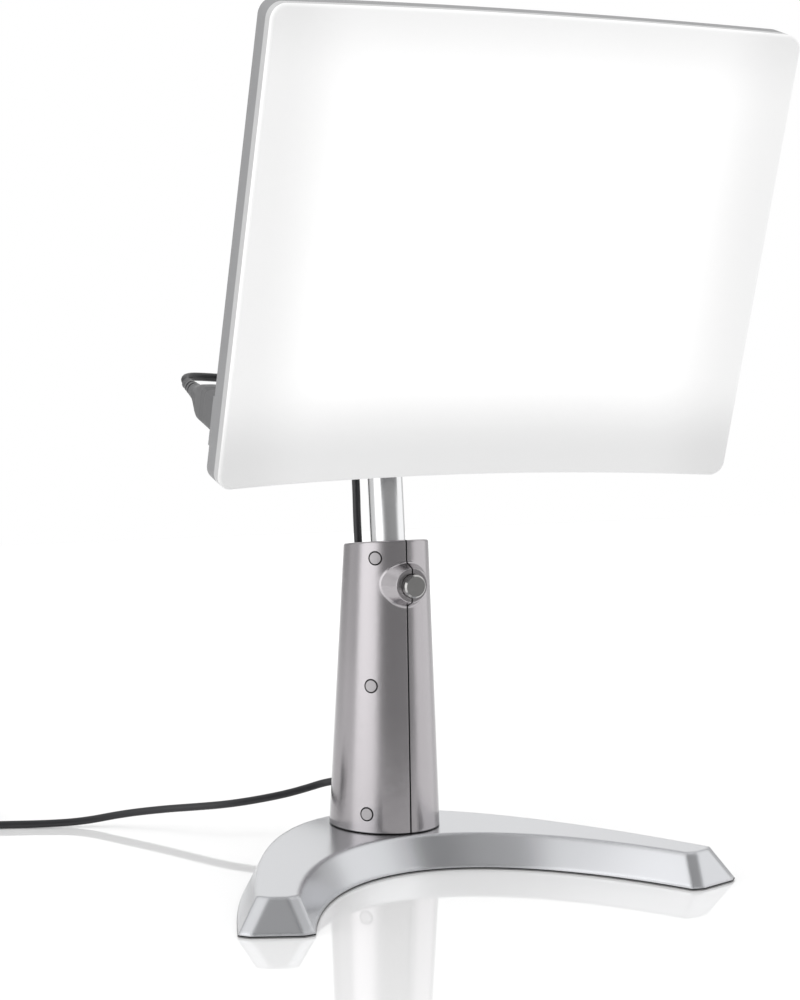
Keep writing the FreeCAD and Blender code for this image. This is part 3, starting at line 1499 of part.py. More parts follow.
def make_connector():
    """The cord's moulded connector: nose, body, taper and ribbed strain relief."""
    gap = size("seat_gap")
    face = size("inlet_face") + gap
    wide = size("connector_half_width")
    high = size("connector_half_height")
    body_end = size("inlet_face") + size("connector_body")
    taper_end = body_end + size("connector_taper")
    neck = size("relief_radius")
    body = Part.makeLoft([connector_section(wide, high, 3, face),
                          connector_section(wide, high, 3, body_end)], True, True)
    taper = Part.makeLoft([connector_section(wide, high, 3, body_end),
                           connector_section(neck + 0.6, neck + 0.6, 3, taper_end)], True, True)
    axis = Vector(INLET_X, taper_end, INLET_Z)
    relief = Part.makeCone(neck, size("cord_radius") + 1.3, size("relief_length"), axis, Y_AXIS)
    body = body.fuse([taper, relief, plug_nose(0, face - 19, face)])
    for rib in range(int(size("relief_ribs"))):
        place = axis + Y_AXIS * (1.2 + rib * 2.9)
        body = body.cut(ring(neck + 3, size("cord_radius") + 0.9, place, Y_AXIS, 1.3))
    for offset_z, offset_x in ((7, 0), (-7, 0), (0, 2.4)):
        body = body.cut(block(INLET_X + offset_x - 1.3, INLET_X + offset_x + 1.3,
                              face - 20, face - 5.5, INLET_Z + offset_z - 2.3,
                              INLET_Z + offset_z + 2.3))
    bore = cylinder(size("cord_radius") + gap, axis + Y_AXIS * (size("relief_length") - 11),
                    Y_AXIS, 20)
    feature("cord_connector", body.cut(bore), HEAD_PLACE)


def make_switch():
    """A rocker switch in the head's back: a housing, and a rocker that tips about Z."""
    centre_x, centre_z = size("switch_x"), size("switch_z")
    depth = size("shell_depth")
    half_w = size("switch_half_width")
    half_l = size("switch_half_length")
    body = block(centre_x - half_l - 1.4, centre_x + half_l + 1.4, depth - 14, depth + 1,
                 centre_z - half_w - 1.4, centre_z + half_w + 1.4)
    flange = block(centre_x - half_l - 3, centre_x + half_l + 3, depth + 0.05, depth + 1.6,
                   centre_z - half_w - 3, centre_z + half_w + 3)
    gap = size("moving_gap")
    well = block(centre_x - half_l - gap, centre_x + half_l + gap, depth - 8, depth + 4,
                 centre_z - half_w - gap, centre_z + half_w + gap)
    pivot = rocker_pivot()
    pin = size("rocker_pin_radius")
    sockets = cylinder(pin + size("bearing_gap"), pivot - Z_AXIS * (half_w + 1.1), Z_AXIS,
                       2 * half_w + 2.2)
    housing = body.fuse(flange).cut(well).cut(sockets)
    feature("switch_housing", housing.removeSplitter(), HEAD_PLACE)
    top = depth + 3.4
    rise = half_l * math.tan(math.radians(size("switch_throw")))
    inside = half_l - 0.6
    profile = [Vector(centre_x - inside, depth - 2.0, 0), Vector(centre_x, depth - 5.5, 0),
               Vector(centre_x + inside, depth - 2.0, 0), Vector(centre_x + inside, top, 0),
               Vector(centre_x, top - rise, 0), Vector(centre_x - inside, top, 0)]
    outline = Part.Face(Part.makePolygon(profile + profile[:1]))
    rocker = outline.extrude(Z_AXIS * (2 * half_w - 0.2))
    rocker.translate(Vector(0, 0, centre_z - half_w + 0.1))
    pins = cylinder(pin, pivot - Z_AXIS * (half_w + 0.9), Z_AXIS, 2 * half_w + 1.8)
    rocker = rocker.fuse(pins)
    rocker.rotate(pivot, Z_AXIS, -size("switch_throw"))
    feature("rocker_switch", rocker, HEAD_PLACE)


def rocker_pivot():
    """The rocker's axis, in the head's frame."""
    return Vector(size("switch_x"), size("shell_depth") - 1, size("switch_z"))


def make_shell_screws():
    screws = []
    depth = size("rim_depth") - size("bezel_depth") + 2
    for start, normal in shell_screw_places():
        head = cylinder(size("shell_screw_head"), start, normal, 1.5)
        shank = cylinder(size("shell_screw_radius"), start + normal * 0.5, -normal, depth + 0.5)
        cross = cylinder(1.0, start + normal * 0.8, normal, 1)
        screws.append(head.fuse(shank).cut(cross))
    feature("shell_screws", joined(screws), HEAD_PLACE)


# ----------------------------------------------------------------------------------------
# Cord
# ----------------------------------------------------------------------------------------
# From the connector on the head round to the clip on the mast, chosen by hand.
HEAD_CORD = [
    (-171.0, -25.57, 366.71),
    (-171.0, -13.10, 370.36),
    (-166.8, -3.4, 372.6),
    (-159.0, 4.1, 373.2),
    (-148.9, 8.1, 372.8),
    (-131.0, 10.6, 371.6),
    (-110.0, 10.6, 370.7),
    (-88.0, 9.6, 370.2),
    (-68.0, 10.0, 369.6),
    (-50.5, 13.6, 368.2),
    (-36.3, 19.4, 365.3),
    (-27.5, 23.7, 360.6),
    (-20.9, 25.9, 353.2),
    (-17.0, 26.38, 344.09),
    (-17.0, 24.40, 328.21),
]

# From the clip down beside the mast and into the column, chosen by hand.
MAST_CORD = [
    (-17.0, 24.40, 328.21),
    (-17.0, 22.18, 310.35),
    (-16.3, 19.7, 286.5),
    (-17.3, 15.9, 260.7),
    (-17.0, 12.5, 233.0),
    (-16.9, 8.1, 197.2),
    (-17.1, 3.4, 159.5),
    (-17.0, -1.2, 122.8),
]

# From the column's grommet down to the table and out to the coil, chosen by hand.
TABLE_CORD = [
    (0.0, 48.5, 45.0),
    (0.0, 71.0, 45.0),
    (-4.2, 81.1, 43.8),
    (-11.9, 88.8, 41.2),
    (-22.0, 93.4, 37.6),
    (-38.0, 98.2, 33.2),
    (-60.0, 104.2, 29.2),
    (-83.0, 114.5, 25.2),
    (-101.5, 132.0, 21.4),
    (-122.5, 155.0, 17.0),
    (-150.0, 177.5, 11.3),
    (-179.0, 193.5, 4.3),
    (-208.0, 202.5, 3.1),
    (-237.0, 212.5, 3.1),
    (-264.5, 221.3, 3.1),
    (-290.0, 224.9, 3.1),
]
COIL_CENTRE = (-290.0, 261.0)


def cord_tube(label, points):
    """A cord's tube: straight runs joined by arcs as large as the runs allow."""
    corners = [Vector(*point) for point in points]
    radii = []
    for index in range(1, len(corners) - 1):
        incoming = corners[index - 1] - corners[index]
        outgoing = corners[index + 1] - corners[index]
        turn = math.pi - incoming.getAngle(outgoing)
        radii.append(0.45 * min(incoming.Length, outgoing.Length) / math.tan(turn / 2))
    path = rounded_path(corners, radii)
    tube = swept(path, size("cord_radius"))
    expected = math.pi * size("cord_radius") ** 2 * path.Length
    print(label, "length %.1f" % path.Length, "volume share %.5f" % (tube.Volume / expected),
          "radii", [round(radius) for radius in radii])
    feature(label, tube)
    return path.Length


def make_cords():
    cord_tube("head_cord", HEAD_CORD)
    cord_tube("mast_cord", MAST_CORD)
    cord_tube("table_cord", TABLE_CORD)


def make_coil():
    """The put-away length, four layers of two turns, as one ring."""
    inner = "coil_radius - 2 * cord_radius"
    outer = "coil_radius + 2 * cord_radius"
    height = "coil_layers * 2 * cord_radius"
    turned("cord_coil", [
        (inner + " + coil_edge", "0"),
        (outer + " - coil_edge", "0"),
        (outer, "coil_edge"),
        (outer, height + " - coil_edge"),
        (outer + " - coil_edge", height),
        (inner + " + coil_edge", height),
        (inner, height + " - coil_edge"),
        (inner, "coil_edge"),
    ], Placement(Vector(COIL_CENTRE[0], COIL_CENTRE[1], 0), Rotation()))


def make_plug():
    """The plug that the last turn leads to, lying beside the coil."""
    middle = size("plug_height") / 2
    front = COIL_CENTRE[1] - size("coil_radius") - size("cord_radius")
    leave = Vector(COIL_CENTRE[0] - 2, front, middle)
    to_left = Rotation(Y_AXIS, -90)
    keep(primitive("Cylinder", "plug_cord", {"Radius": "cord_radius", "Height": "plug_lead"},
                   Placement(leave, to_left)))
    neck_end = leave - X_AXIS * size("plug_lead")
    body_end = neck_end - X_AXIS * size("plug_neck")
    neck = Part.makeCone(size("cord_radius") + 0.8, 6.0, size("plug_neck"), neck_end, -X_AXIS)
    half = size("plug_half_width")
    length = size("plug_length")
    plug = block(body_end.x - length, body_end.x, leave.y - half, leave.y + half, 0,
                 size("plug_height"))
    plug = plug.makeFillet(4, plug.Edges)
    feature("mains_plug", plug.fuse(neck))

    face_x = body_end.x - length
    pins = []
    for side, name in ((-1, "lower"), (1, "upper")):
        corner = Vector(face_x - size("blade_length"), leave.y + 0.8,
                        middle + side * size("blade_spacing") / 2 - size("blade_thickness") / 2)
        pins.append(primitive("Box", "plug_blade_" + name,
                              {"Length": "blade_length", "Width": "blade_width",
                               "Height": "blade_thickness"}, Placement(corner, Rotation())))
    pins.append(primitive("Cylinder", "plug_earth_pin",
                          {"Radius": "earth_pin_radius", "Height": "earth_pin_length"},
                          Placement(Vector(face_x, leave.y - 7.9, middle), to_left)))
    grouped("plug_pins", pins)


# ----------------------------------------------------------------------------------------
# Build
# ----------------------------------------------------------------------------------------
def check(document):
    for item in document.Objects:
        bad = [state for state in item.State if state in ("Invalid", "Error")]
        if bad:
            raise RuntimeError("%s is %s" % (item.Label, bad))
    for node in NODES:
        if node.Shape.isNull() or not node.Shape.isValid():
            raise RuntimeError("%s has a bad shape" % node.Label)
        if not node.Shape.Solids:
            raise RuntimeError("%s holds no solid" % node.Label)


def main():
    make_base()
    make_column()
    make_column_fasteners()
    make_guides()
    make_grommet()
    make_release()
    make_mast()
    make_diffuser()
    make_bezel()
    make_back_shell()
    make_head_hinge()
    make_reflector()
    make_lamps()
    make_ballast()
    make_inlet()
    make_connector()
    make_switch()
    make_shell_screws()
    make_cords()
    make_coil()
    make_plug()
    DOC.recompute()
    check(DOC)
    os.makedirs("parts", exist_ok=True)
    for node in NODES:
        node.Shape.exportStep("parts/%s.step" % node.Label)
        print(node.Label, len(node.Shape.Solids), "solids, volume %.0f" % node.Shape.Volume)


main()
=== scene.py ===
"""Light therapy lamp: finishes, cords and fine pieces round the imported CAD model.

Lengths are in metres in the row's frame: the origin is on the table under the column, +Z is up
and the lamp faces -Y. The head's own frame has x to the right, depth to the back and height up
the panel, with its origin in the middle of the panel's chord plane.
"""
import math

import bpy
from mathutils import Matrix, Vector


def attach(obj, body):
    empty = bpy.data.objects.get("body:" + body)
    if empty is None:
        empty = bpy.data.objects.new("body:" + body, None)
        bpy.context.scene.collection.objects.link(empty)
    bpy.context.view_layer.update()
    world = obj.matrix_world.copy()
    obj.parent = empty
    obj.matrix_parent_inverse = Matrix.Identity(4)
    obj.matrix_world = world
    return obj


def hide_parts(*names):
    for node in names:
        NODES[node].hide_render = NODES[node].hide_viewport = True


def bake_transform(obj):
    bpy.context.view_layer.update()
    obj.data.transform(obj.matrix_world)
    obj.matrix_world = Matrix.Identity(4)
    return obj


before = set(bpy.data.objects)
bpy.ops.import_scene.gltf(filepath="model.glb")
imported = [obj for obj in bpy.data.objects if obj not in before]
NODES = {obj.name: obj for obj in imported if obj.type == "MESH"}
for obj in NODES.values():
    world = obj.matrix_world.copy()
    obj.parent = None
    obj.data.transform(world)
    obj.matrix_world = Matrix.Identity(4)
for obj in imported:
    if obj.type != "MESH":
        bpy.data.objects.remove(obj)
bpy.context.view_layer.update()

MM = 0.001
HEAD_TILT = math.radians(16.3)
HEAD_CENTRE = Vector((0.0, -0.200766, 0.459887))
HEAD_PLACE = Matrix.Translation(HEAD_CENTRE) @ Matrix.Rotation(HEAD_TILT, 4, "X")


def new_object(name, data):
    """An object that holds the data, in the scene."""
    made = bpy.data.objects.new(name, data)
    bpy.context.scene.collection.objects.link(made)
    return made


# ------------------------------------------------------------------------------------------
# Camera
# ------------------------------------------------------------------------------------------
CAMERA_PLACE = (-0.83729, -1.71079, 0.43258)
CAMERA_YAW = math.radians(26.397)      # from +Y toward +X
CAMERA_PITCH = math.radians(-4.656)
CAMERA_ROLL = math.radians(0.356)
FOCAL_PIXELS = 2480.14                 # for a picture 1000 pixels high
PICTURE_HEIGHT = 1000
OPTICAL_AXIS_Y = 499.4                 # pixels below the picture's top
SENSOR = 36.0                          # mm


def make_camera():
    """The camera that the picture is taken with: its place, its turn and its lens."""
    data = bpy.data.cameras.new("camera")
    data.sensor_width = SENSOR
    data.lens = FOCAL_PIXELS * SENSOR / PICTURE_HEIGHT
    data.shift_y = (OPTICAL_AXIS_Y - PICTURE_HEIGHT / 2) / PICTURE_HEIGHT
    data.clip_start, data.clip_end = 0.05, 50.0
    camera = new_object("camera", data)
    level = math.cos(CAMERA_PITCH)
    forward = Vector((math.sin(CAMERA_YAW) * level, math.cos(CAMERA_YAW) * level,
                      math.sin(CAMERA_PITCH)))
    right = Vector((math.cos(CAMERA_YAW), -math.sin(CAMERA_YAW), 0.0))
    up = right.cross(forward)
    turn = Matrix.Rotation(-CAMERA_ROLL, 3, forward)
    axes = Matrix((turn @ right, turn @ up, -forward)).transposed()
    camera.matrix_world = Matrix.Translation(CAMERA_PLACE) @ axes.to_4x4()
    bpy.context.scene.camera = camera


make_camera()

# ------------------------------------------------------------------------------------------
# Cords: the route points are the CAD source's, in metres
# ------------------------------------------------------------------------------------------
CORD_RADIUS = 0.0031

# from the connector on the head round to the clip on the mast
HEAD_CORD = [
    (-0.1710, -0.02557, 0.36671), (-0.1710, -0.01310, 0.37036), (-0.1668, -0.0034, 0.3726),
    (-0.1590, 0.0041, 0.3732), (-0.1489, 0.0081, 0.3728), (-0.1310, 0.0106, 0.3716),
    (-0.1100, 0.0106, 0.3707), (-0.0880, 0.0096, 0.3702), (-0.0680, 0.0100, 0.3696),
    (-0.0505, 0.0136, 0.3682), (-0.0363, 0.0194, 0.3653), (-0.0275, 0.0237, 0.3606),
    (-0.0209, 0.0259, 0.3532), (-0.0170, 0.02638, 0.34409), (-0.0170, 0.02440, 0.32821),
]
# from the clip down beside the mast and into the column
MAST_CORD = [
    (-0.0170, 0.02440, 0.32821), (-0.0170, 0.02218, 0.31035), (-0.0163, 0.0197, 0.2865),
    (-0.0173, 0.0159, 0.2607), (-0.0170, 0.0125, 0.2330), (-0.0169, 0.0081, 0.1972),
    (-0.0171, 0.0034, 0.1595), (-0.0170, -0.0012, 0.1228),
]
# from the column's grommet down to the table and out to the coil
TABLE_CORD = [
    (0.0, 0.0485, 0.0450), (0.0, 0.0710, 0.0450), (-0.0042, 0.0811, 0.0438),
    (-0.0119, 0.0888, 0.0412), (-0.0220, 0.0934, 0.0376), (-0.0380, 0.0982, 0.0332),
    (-0.0600, 0.1042, 0.0292), (-0.0830, 0.1145, 0.0252), (-0.1015, 0.1320, 0.0214),
    (-0.1225, 0.1550, 0.0170), (-0.1500, 0.1775, 0.0113), (-0.1790, 0.1935, 0.0043),
    (-0.2080, 0.2025, 0.0031), (-0.2370, 0.2125, 0.0031), (-0.2645, 0.2213, 0.0031),
    (-0.2900, 0.2249, 0.0031),
]
COIL_CENTRE = (-0.290, 0.261)
COIL_RADIUS = 0.033                    # at the middle of the turns
TURN_POINTS = 16
# Each turn steps from its place to the next one while it crosses its own part of the circle,
# in degrees from the front; a place is a column (1 outer, -1 inner) and a layer from below.
COIL_PLACES = [(1, 1), (-1, 1), (-1, 2), (-1, 3), (-1, 4), (1, 4), (1, 3), (1, 2)]
COIL_STEPS = [(275, 350), (190, 265), (190, 265), (190, 265), (105, 180), (20, 95), (20, 95)]
PLUG_LEAD_START_X = -0.303
PLUG_LEAD_END = (-0.314, 0.2249, 0.0093)


def eased(share):
    """A share from 0 to 1 that starts and ends gently."""
    share = min(max(share, 0.0), 1.0)
    return share * share * (3 - 2 * share)


def coil_points():
    """Seven turns in two columns of four layers, clockwise from the front."""
    points = []
    for index in range(len(COIL_STEPS) * TURN_POINTS):
        angle = 360 * (index + 0.5) / TURN_POINTS          # degrees from the front
        turn, part = int(angle // 360), angle % 360
        first, last = COIL_STEPS[turn]
        share = eased((part - first) / (last - first))
        (column, layer), (next_column, next_layer) = COIL_PLACES[turn:turn + 2]
        column += (next_column - column) * share
        layer += (next_layer - layer) * share
        reach = (COIL_RADIUS + column * CORD_RADIUS) / math.cos(math.pi / TURN_POINTS)
        around = math.radians(-90 - angle)
        points.append((COIL_CENTRE[0] + reach * math.cos(around),
                       COIL_CENTRE[1] + reach * math.sin(around),
                       (2 * layer - 1) * CORD_RADIUS))
    return points


def cord_curve(name, points, radius=CORD_RADIUS):
    """An open NURBS spline with the route's points as its control points; bare at no radius."""
    curve = bpy.data.curves.new(name, "CURVE")
    curve.dimensions = "3D"
    spline = curve.splines.new("NURBS")
    spline.points.add(len(points) - 1)
    for point, place in zip(spline.points, points):
        point.co = (*place, 1.0)
        point.radius = radius          # the curve's box reaches this far past its points
    spline.order_u = 3
    spline.use_endpoint_u = True
    spline.resolution_u = 8
    spline.use_smooth = True
    curve.bevel_depth = 1.0 if radius else 0.0             # times the points' radius
    curve.bevel_resolution = 5
    curve.use_fill_caps = True
    return new_object(name, curve)


def centreline(points):
    """The points along a cord's own spline."""
    bare = cord_curve("centreline", points, 0.0)
    mesh = bpy.data.meshes.new_from_object(bare)
    line = [tuple(vertex.co) for vertex in mesh.vertices]
    bpy.data.objects.remove(bare)
    bpy.data.meshes.remove(mesh)
    return line


def line_length(line):
    """How long a line of points is."""
    return sum((Vector(b) - Vector(a)).length for a, b in zip(line, line[1:]))


def cord_tube(name, points):
    """A cord as a mesh tube, for the one that crosses the head's hinge."""
    curve = cord_curve(name + "_curve", points)
    mesh = bpy.data.meshes.new_from_object(curve)
    bpy.data.objects.remove(curve)
    mesh.name = name
    for face in mesh.polygons:
        face.use_smooth = True
    return new_object(name, mesh)


def make_head_cord():
    """The cord from the connector to the clip, as a mesh tube fixed in the row's frame."""
    tube = cord_tube("head_lead", HEAD_CORD)
    line = centreline(HEAD_CORD)
    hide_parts("head_cord")
    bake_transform(tube)
    return tube


def make_mast_cord():
    """The cord beside the mast, which slides up with it."""
    cord = cord_curve("mast_lead", MAST_CORD)
    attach(cord, "mast")
    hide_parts("mast_cord")
    line_length(centreline(MAST_CORD))
    return cord


def make_table_cord():
    """The cord from the column over the table, its coil and the lead to the plug."""
    plug_lead = [(PLUG_LEAD_START_X, *PLUG_LEAD_END[1:]), PLUG_LEAD_END]
    points = TABLE_CORD + coil_points() + plug_lead
    cord = cord_curve("table_lead", points)
    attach(cord, "base")
    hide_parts("table_cord", "cord_coil", "plug_cord")
    line_length(centreline(points))
    return cord


# ------------------------------------------------------------------------------------------
# Moulded pieces on the cord
# ------------------------------------------------------------------------------------------
SECTION_SIDES = 72
ROUND = 2.0                            # the squareness of a circle or an ellipse


def lofted(name, sections, place, carving=None):
    """A closed skin through sections square to local Z.

    A section is its height, half width, half depth and squareness: 2 is an ellipse, and more
    brings its corners out. A carving gives how deep the skin is cut in at a place, in mm."""
    vertices, faces = [], []
    for height, half_width, half_depth, squareness in sections:
        for side in range(SECTION_SIDES):
            angle = 2 * math.pi * side / SECTION_SIDES
            across, along = math.cos(angle), math.sin(angle)
            x = math.copysign(abs(across) ** (2 / squareness), across) * half_width
            y = math.copysign(abs(along) ** (2 / squareness), along) * half_depth
            if carving:
                cut = carving(height, x, y)
                x, y = x * (1 - cut / half_width), y * (1 - cut / half_depth)
            vertices.append((x * MM, y * MM, height * MM))
    for row in range(len(sections) - 1):
        for side in range(SECTION_SIDES):
            after = (side + 1) % SECTION_SIDES
            low, high = row * SECTION_SIDES, (row + 1) * SECTION_SIDES
            faces.append((low + side, low + after, high + after, high + side))
    last = (len(sections) - 1) * SECTION_SIDES
    faces.append(tuple(reversed(range(SECTION_SIDES))))
    faces.append(tuple(last + side for side in range(SECTION_SIDES)))
    mesh = bpy.data.meshes.new(name)
    mesh.from_pydata(vertices, [], faces)
    mesh.transform(place)
    if place.to_3x3().determinant() < 0:
        mesh.flip_normals()
    for face in mesh.polygons:
        face.use_smooth = len(face.vertices) == 4
    return new_object(name, mesh)


def ribbed(start, length, root, tip, rib_pitch, groove):
    """The rings of a strain relief: rounded ribs with narrow grooves, tapering to the tip."""
    rows = []
    count = int(length // rib_pitch)
    for rib in range(count):
        share = rib / count
        proud = root + (tip - root) * share
        low = start + rib * rib_pitch
        # from the groove's floor over the rib's rounded shoulders and down again
        for offset, radius in ((0.0, proud - groove), (0.25, proud - 0.15), (0.55, proud),
                               (rib_pitch - 1.15, proud - 0.05),
                               (rib_pitch - 0.85, proud - 0.25),
                               (rib_pitch - 0.65, proud - groove)):
            rows.append((low + offset, radius, radius, ROUND))
    rows.append((start + length, tip - 0.1, tip - 0.1, ROUND))
    return rows


# The connector, in mm in the head's frame and from the inlet's face on.
INLET_X, INLET_HEIGHT, INLET_FACE = -171.0, -138.6, 68.0
SEAT_GAP = 0.1                         # between the inlet's face and the connector
CONNECTOR_BODY, CONNECTOR_TAPER, RELIEF_LENGTH = 38.0, 24.0, 20.0
BODY_START, BODY_HALF_WIDTH, BODY_HALF_DEPTH, BODY_SQUARENESS = 2, 8.6, 13.0, 6
WIDTH_LOSS, DEPTH_LOSS, SQUARENESS_LOSS = 2.6, 7.0, 4    # over the taper
BODY_STEPS = 64
RELIEF_GAP = 0.3
RELIEF_START = INLET_FACE + CONNECTOR_BODY + CONNECTOR_TAPER + RELIEF_GAP
RELIEF_ROOT, RELIEF_TIP, RELIEF_GROOVE = 5.6, 4.3, 1.6
RIB_PITCH = 5.0
RIDGES = (28.0, 30.6, 33.2)            # rings cut round the body's end
RIDGE_DEPTH, RIDGE_HALF_WIDTH = 0.55, 0.8
GRIP_START, GRIP_END = 45.0, 59.0
GRIP_REACH, GRIP_NARROWING = 5.0, 2.2  # to each side where it starts, less where it ends
GRIP_DEPTH, GRIP_SLOPE, HATCH_RISE, HATCH_PITCH = 0.9, 0.8, 0.45, 2.4


def connector_carving(height, x, y):
    """Three shallow rings round the body, and a hatched grip sunk in each broad side."""
    along = height - INLET_FACE
    cut = sum(RIDGE_DEPTH * max(0.0, 1 - abs(along - ridge) / RIDGE_HALF_WIDTH)
              for ridge in RIDGES)
    reach = (GRIP_REACH
             - GRIP_NARROWING * max(0.0, along - GRIP_START) / (GRIP_END - GRIP_START))
    inside = min(along - GRIP_START, GRIP_END - along, reach - abs(y))
    if inside > 0:
        hatch = 0.5 + 0.5 * math.cos(2 * math.pi * (along + y) / HATCH_PITCH)
        cut += min(inside / GRIP_SLOPE, 1.0) * (GRIP_DEPTH - HATCH_RISE * hatch)
    return cut


def make_connector():
    """The connector in the head's inlet: nose, body, gripped shoulder and ribbed relief."""
    face = INLET_FACE + SEAT_GAP
    rows = [(face - 19, 7.0, 11.0, 6), (face - 18.4, 7.6, 11.6, 7), (face, 7.6, 11.6, 7),
            (face, 8.0, 12.4, 6),
            (face + 0.5, BODY_HALF_WIDTH, BODY_HALF_DEPTH, BODY_SQUARENESS)]
    for step in range(BODY_STEPS + 1):
        along = BODY_START + (CONNECTOR_BODY + CONNECTOR_TAPER - BODY_START) * step / BODY_STEPS
        drop = eased((along - CONNECTOR_BODY) / CONNECTOR_TAPER)
        rows.append((face + along, BODY_HALF_WIDTH - WIDTH_LOSS * drop,
                     BODY_HALF_DEPTH - DEPTH_LOSS * drop,
                     BODY_SQUARENESS - SQUARENESS_LOSS * drop))
    rows += ribbed(RELIEF_START, RELIEF_LENGTH - RELIEF_GAP, RELIEF_ROOT, RELIEF_TIP, RIB_PITCH,
                   RELIEF_GROOVE)
    inlet = Matrix.Translation((INLET_X * MM, 0, INLET_HEIGHT * MM))
    to_the_back = Matrix(((1, 0, 0, 0), (0, 0, 1, 0), (0, 1, 0, 0), (0, 0, 0, 1)))
    place = HEAD_PLACE @ inlet @ to_the_back
    piece = lofted("connector_moulding", rows, place, connector_carving)
    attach(piece, "head")
    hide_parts("cord_connector")
    return piece


# The plug, in mm from the end of its lead on.
PLUG_NECK, PLUG_LENGTH, PLUG_NECK_OVERLAP = 22.0, 30.0, 1.5
# Its body's sections: the share of its length, half width, half height and squareness.
PLUG_BODY = [(0.0, 6.0, 6.0, 2.0), (0.06, 8.4, 7.4, 2.6), (0.13, 10.6, 8.4, 3.2),
             (0.24, 11.8, 8.9, 4.0), (0.36, 11.2, 9.1, 4.6), (0.48, 10.9, 9.2, 4.8),
             (0.60, 11.4, 9.25, 4.8), (0.72, 12.6, 9.3, 4.6), (0.80, 13.0, 9.3, 4.4),
             (0.95, 13.0, 9.3, 4.4), (0.985, 12.7, 9.0, 4.4), (1.0, 12.1, 8.4, 4.4)]


def make_plug():
    """The mains plug, lying on its side: ribbed neck, finger waist and a flat face."""
    rows = ribbed(0.0, PLUG_NECK - 2, root=4.0, tip=5.9, rib_pitch=3.2, groove=1.2)
    for share, half_width, half_height, squareness in PLUG_BODY:
        along = PLUG_NECK - PLUG_NECK_OVERLAP + (PLUG_LENGTH + PLUG_NECK_OVERLAP) * share
        rows.append((along, half_width, half_height, squareness))
    along_cord = Matrix(((0, 0, -1, PLUG_LEAD_END[0]), (1, 0, 0, PLUG_LEAD_END[1]),
                         (0, 1, 0, PLUG_LEAD_END[2]), (0, 0, 0, 1)))
    piece = lofted("plug_moulding", rows, along_cord)
    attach(piece, "base")
    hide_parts("mains_plug")
    return piece


plug_moulding = make_plug()
table_lead = make_table_cord()
mast_lead = make_mast_cord()
head_lead = make_head_cord()
connector_moulding = make_connector()


# ------------------------------------------------------------------------------------------
# Finishes
# ------------------------------------------------------------------------------------------
def linear(colour):
    """An sRGB hex colour as linear red, green, blue and alpha."""
    channels = [int(colour[index:index + 2], 16) / 255 for index in (1, 3, 5)]
    return (*(value / 12.92 if value <= 0.04045 else ((value + 0.055) / 1.055) ** 2.4
              for value in channels), 1.0)


def add(tree, kind, inputs=None, **settings):
    """One node with its settings; an input is a value or another node's output."""
    node = tree.nodes.new("ShaderNode" + kind)
    for name, value in settings.items():
        setattr(node, name, value)
    for socket, value in (inputs or {}).items():
        if isinstance(value, bpy.types.NodeSocket):
            tree.links.new(value, node.inputs[socket])
        else:
            node.inputs[socket].default_value = value
    return node


def calc(tree, operation, *values):
    """What a Math node makes of its values."""
    return add(tree, "Math", dict(enumerate(values)), operation=operation).outputs[0]


def ramp(tree, value, start, end, low=0.0, high=1.0, smooth=True):
    """A number that goes from low to high while the value goes from start to end."""
    return add(tree, "MapRange", {"Value": value, "From Min": start, "From Max": end,
                                  "To Min": low, "To Max": high},
               interpolation_type="SMOOTHSTEP" if smooth else "LINEAR").outputs["Result"]


def noise(tree, place, scale, detail=2.0):
    """Fractal noise; its scale is how many of its clouds go into a metre."""
    return add(tree, "TexNoise", {"Vector": place, "Scale": scale,
                                  "Detail": detail}).outputs["Fac"]


# The Mix node's sockets by number, since its inputs for numbers and colours share their names.
FACTOR, NUMBER_A, NUMBER_B, NUMBER_OUT = 0, 2, 3, 0
COLOUR_A, COLOUR_B, COLOUR_OUT = 6, 7, 2


def mixed(tree, share, low, high):
    """One number at a share of nought, another at one."""
    return add(tree, "Mix", {FACTOR: share, NUMBER_A: low, NUMBER_B: high}).outputs[NUMBER_OUT]


def tinted(tree, share, low, high):
    """One colour at a share of nought, another at one."""
    return add(tree, "Mix", {FACTOR: share, COLOUR_A: low, COLOUR_B: high},
               data_type="RGBA").outputs[COLOUR_OUT]


def object_place(tree):
    """A surface point's place at rest: each piece's own frame is the row's frame."""
    return add(tree, "TexCoord").outputs["Object"]


def blank(name):
    """A material with an empty node tree, and the tree."""
    material = bpy.data.materials.new(name)
    material.use_nodes = True
    material.node_tree.nodes.clear()
    return material, material.node_tree


# Painted shade: the dark colour laid along shut lines and into crevices, where gaps would hold
# shadow.
SHADE = linear("#1c1c1d")              # what a narrow gap shows
FADE_STARTS, FADE_ENDS = 0.6, 1.4      # where a gap's shade fades, in shares of its reach


def clear_of(tree, value, at_mm, reach_mm):
    """Nought where a length in metres is within a reach of another, one clear of it."""
    off = calc(tree, "SUBTRACT", value, at_mm * MM)
    off = calc(tree, "ABSOLUTE", off)
    return ramp(tree, off, reach_mm * FADE_STARTS * MM, reach_mm * FADE_ENDS * MM)


def clear_of_plane(tree, place, axis, at_mm, reach_mm):
    """Nought within a reach of a plane across an axis, one clear of it."""
    along = add(tree, "SeparateXYZ", {"Vector": place}).outputs[axis]
    return clear_of(tree, along, at_mm, reach_mm)


def head_place(tree, place):
    """A place in the head's own frame."""
    return add(tree, "Mapping", {"Vector": place, "Location": HEAD_CENTRE,
                                 "Rotation": (HEAD_TILT, 0, 0)},
               vector_type="TEXTURE").outputs["Vector"]


def clear_of_depth(tree, place, depth_mm, reach_mm):
    """Nought within a reach of a depth behind the panel, one clear of it."""
    return clear_of_plane(tree, head_place(tree, place), "Y", depth_mm, reach_mm)


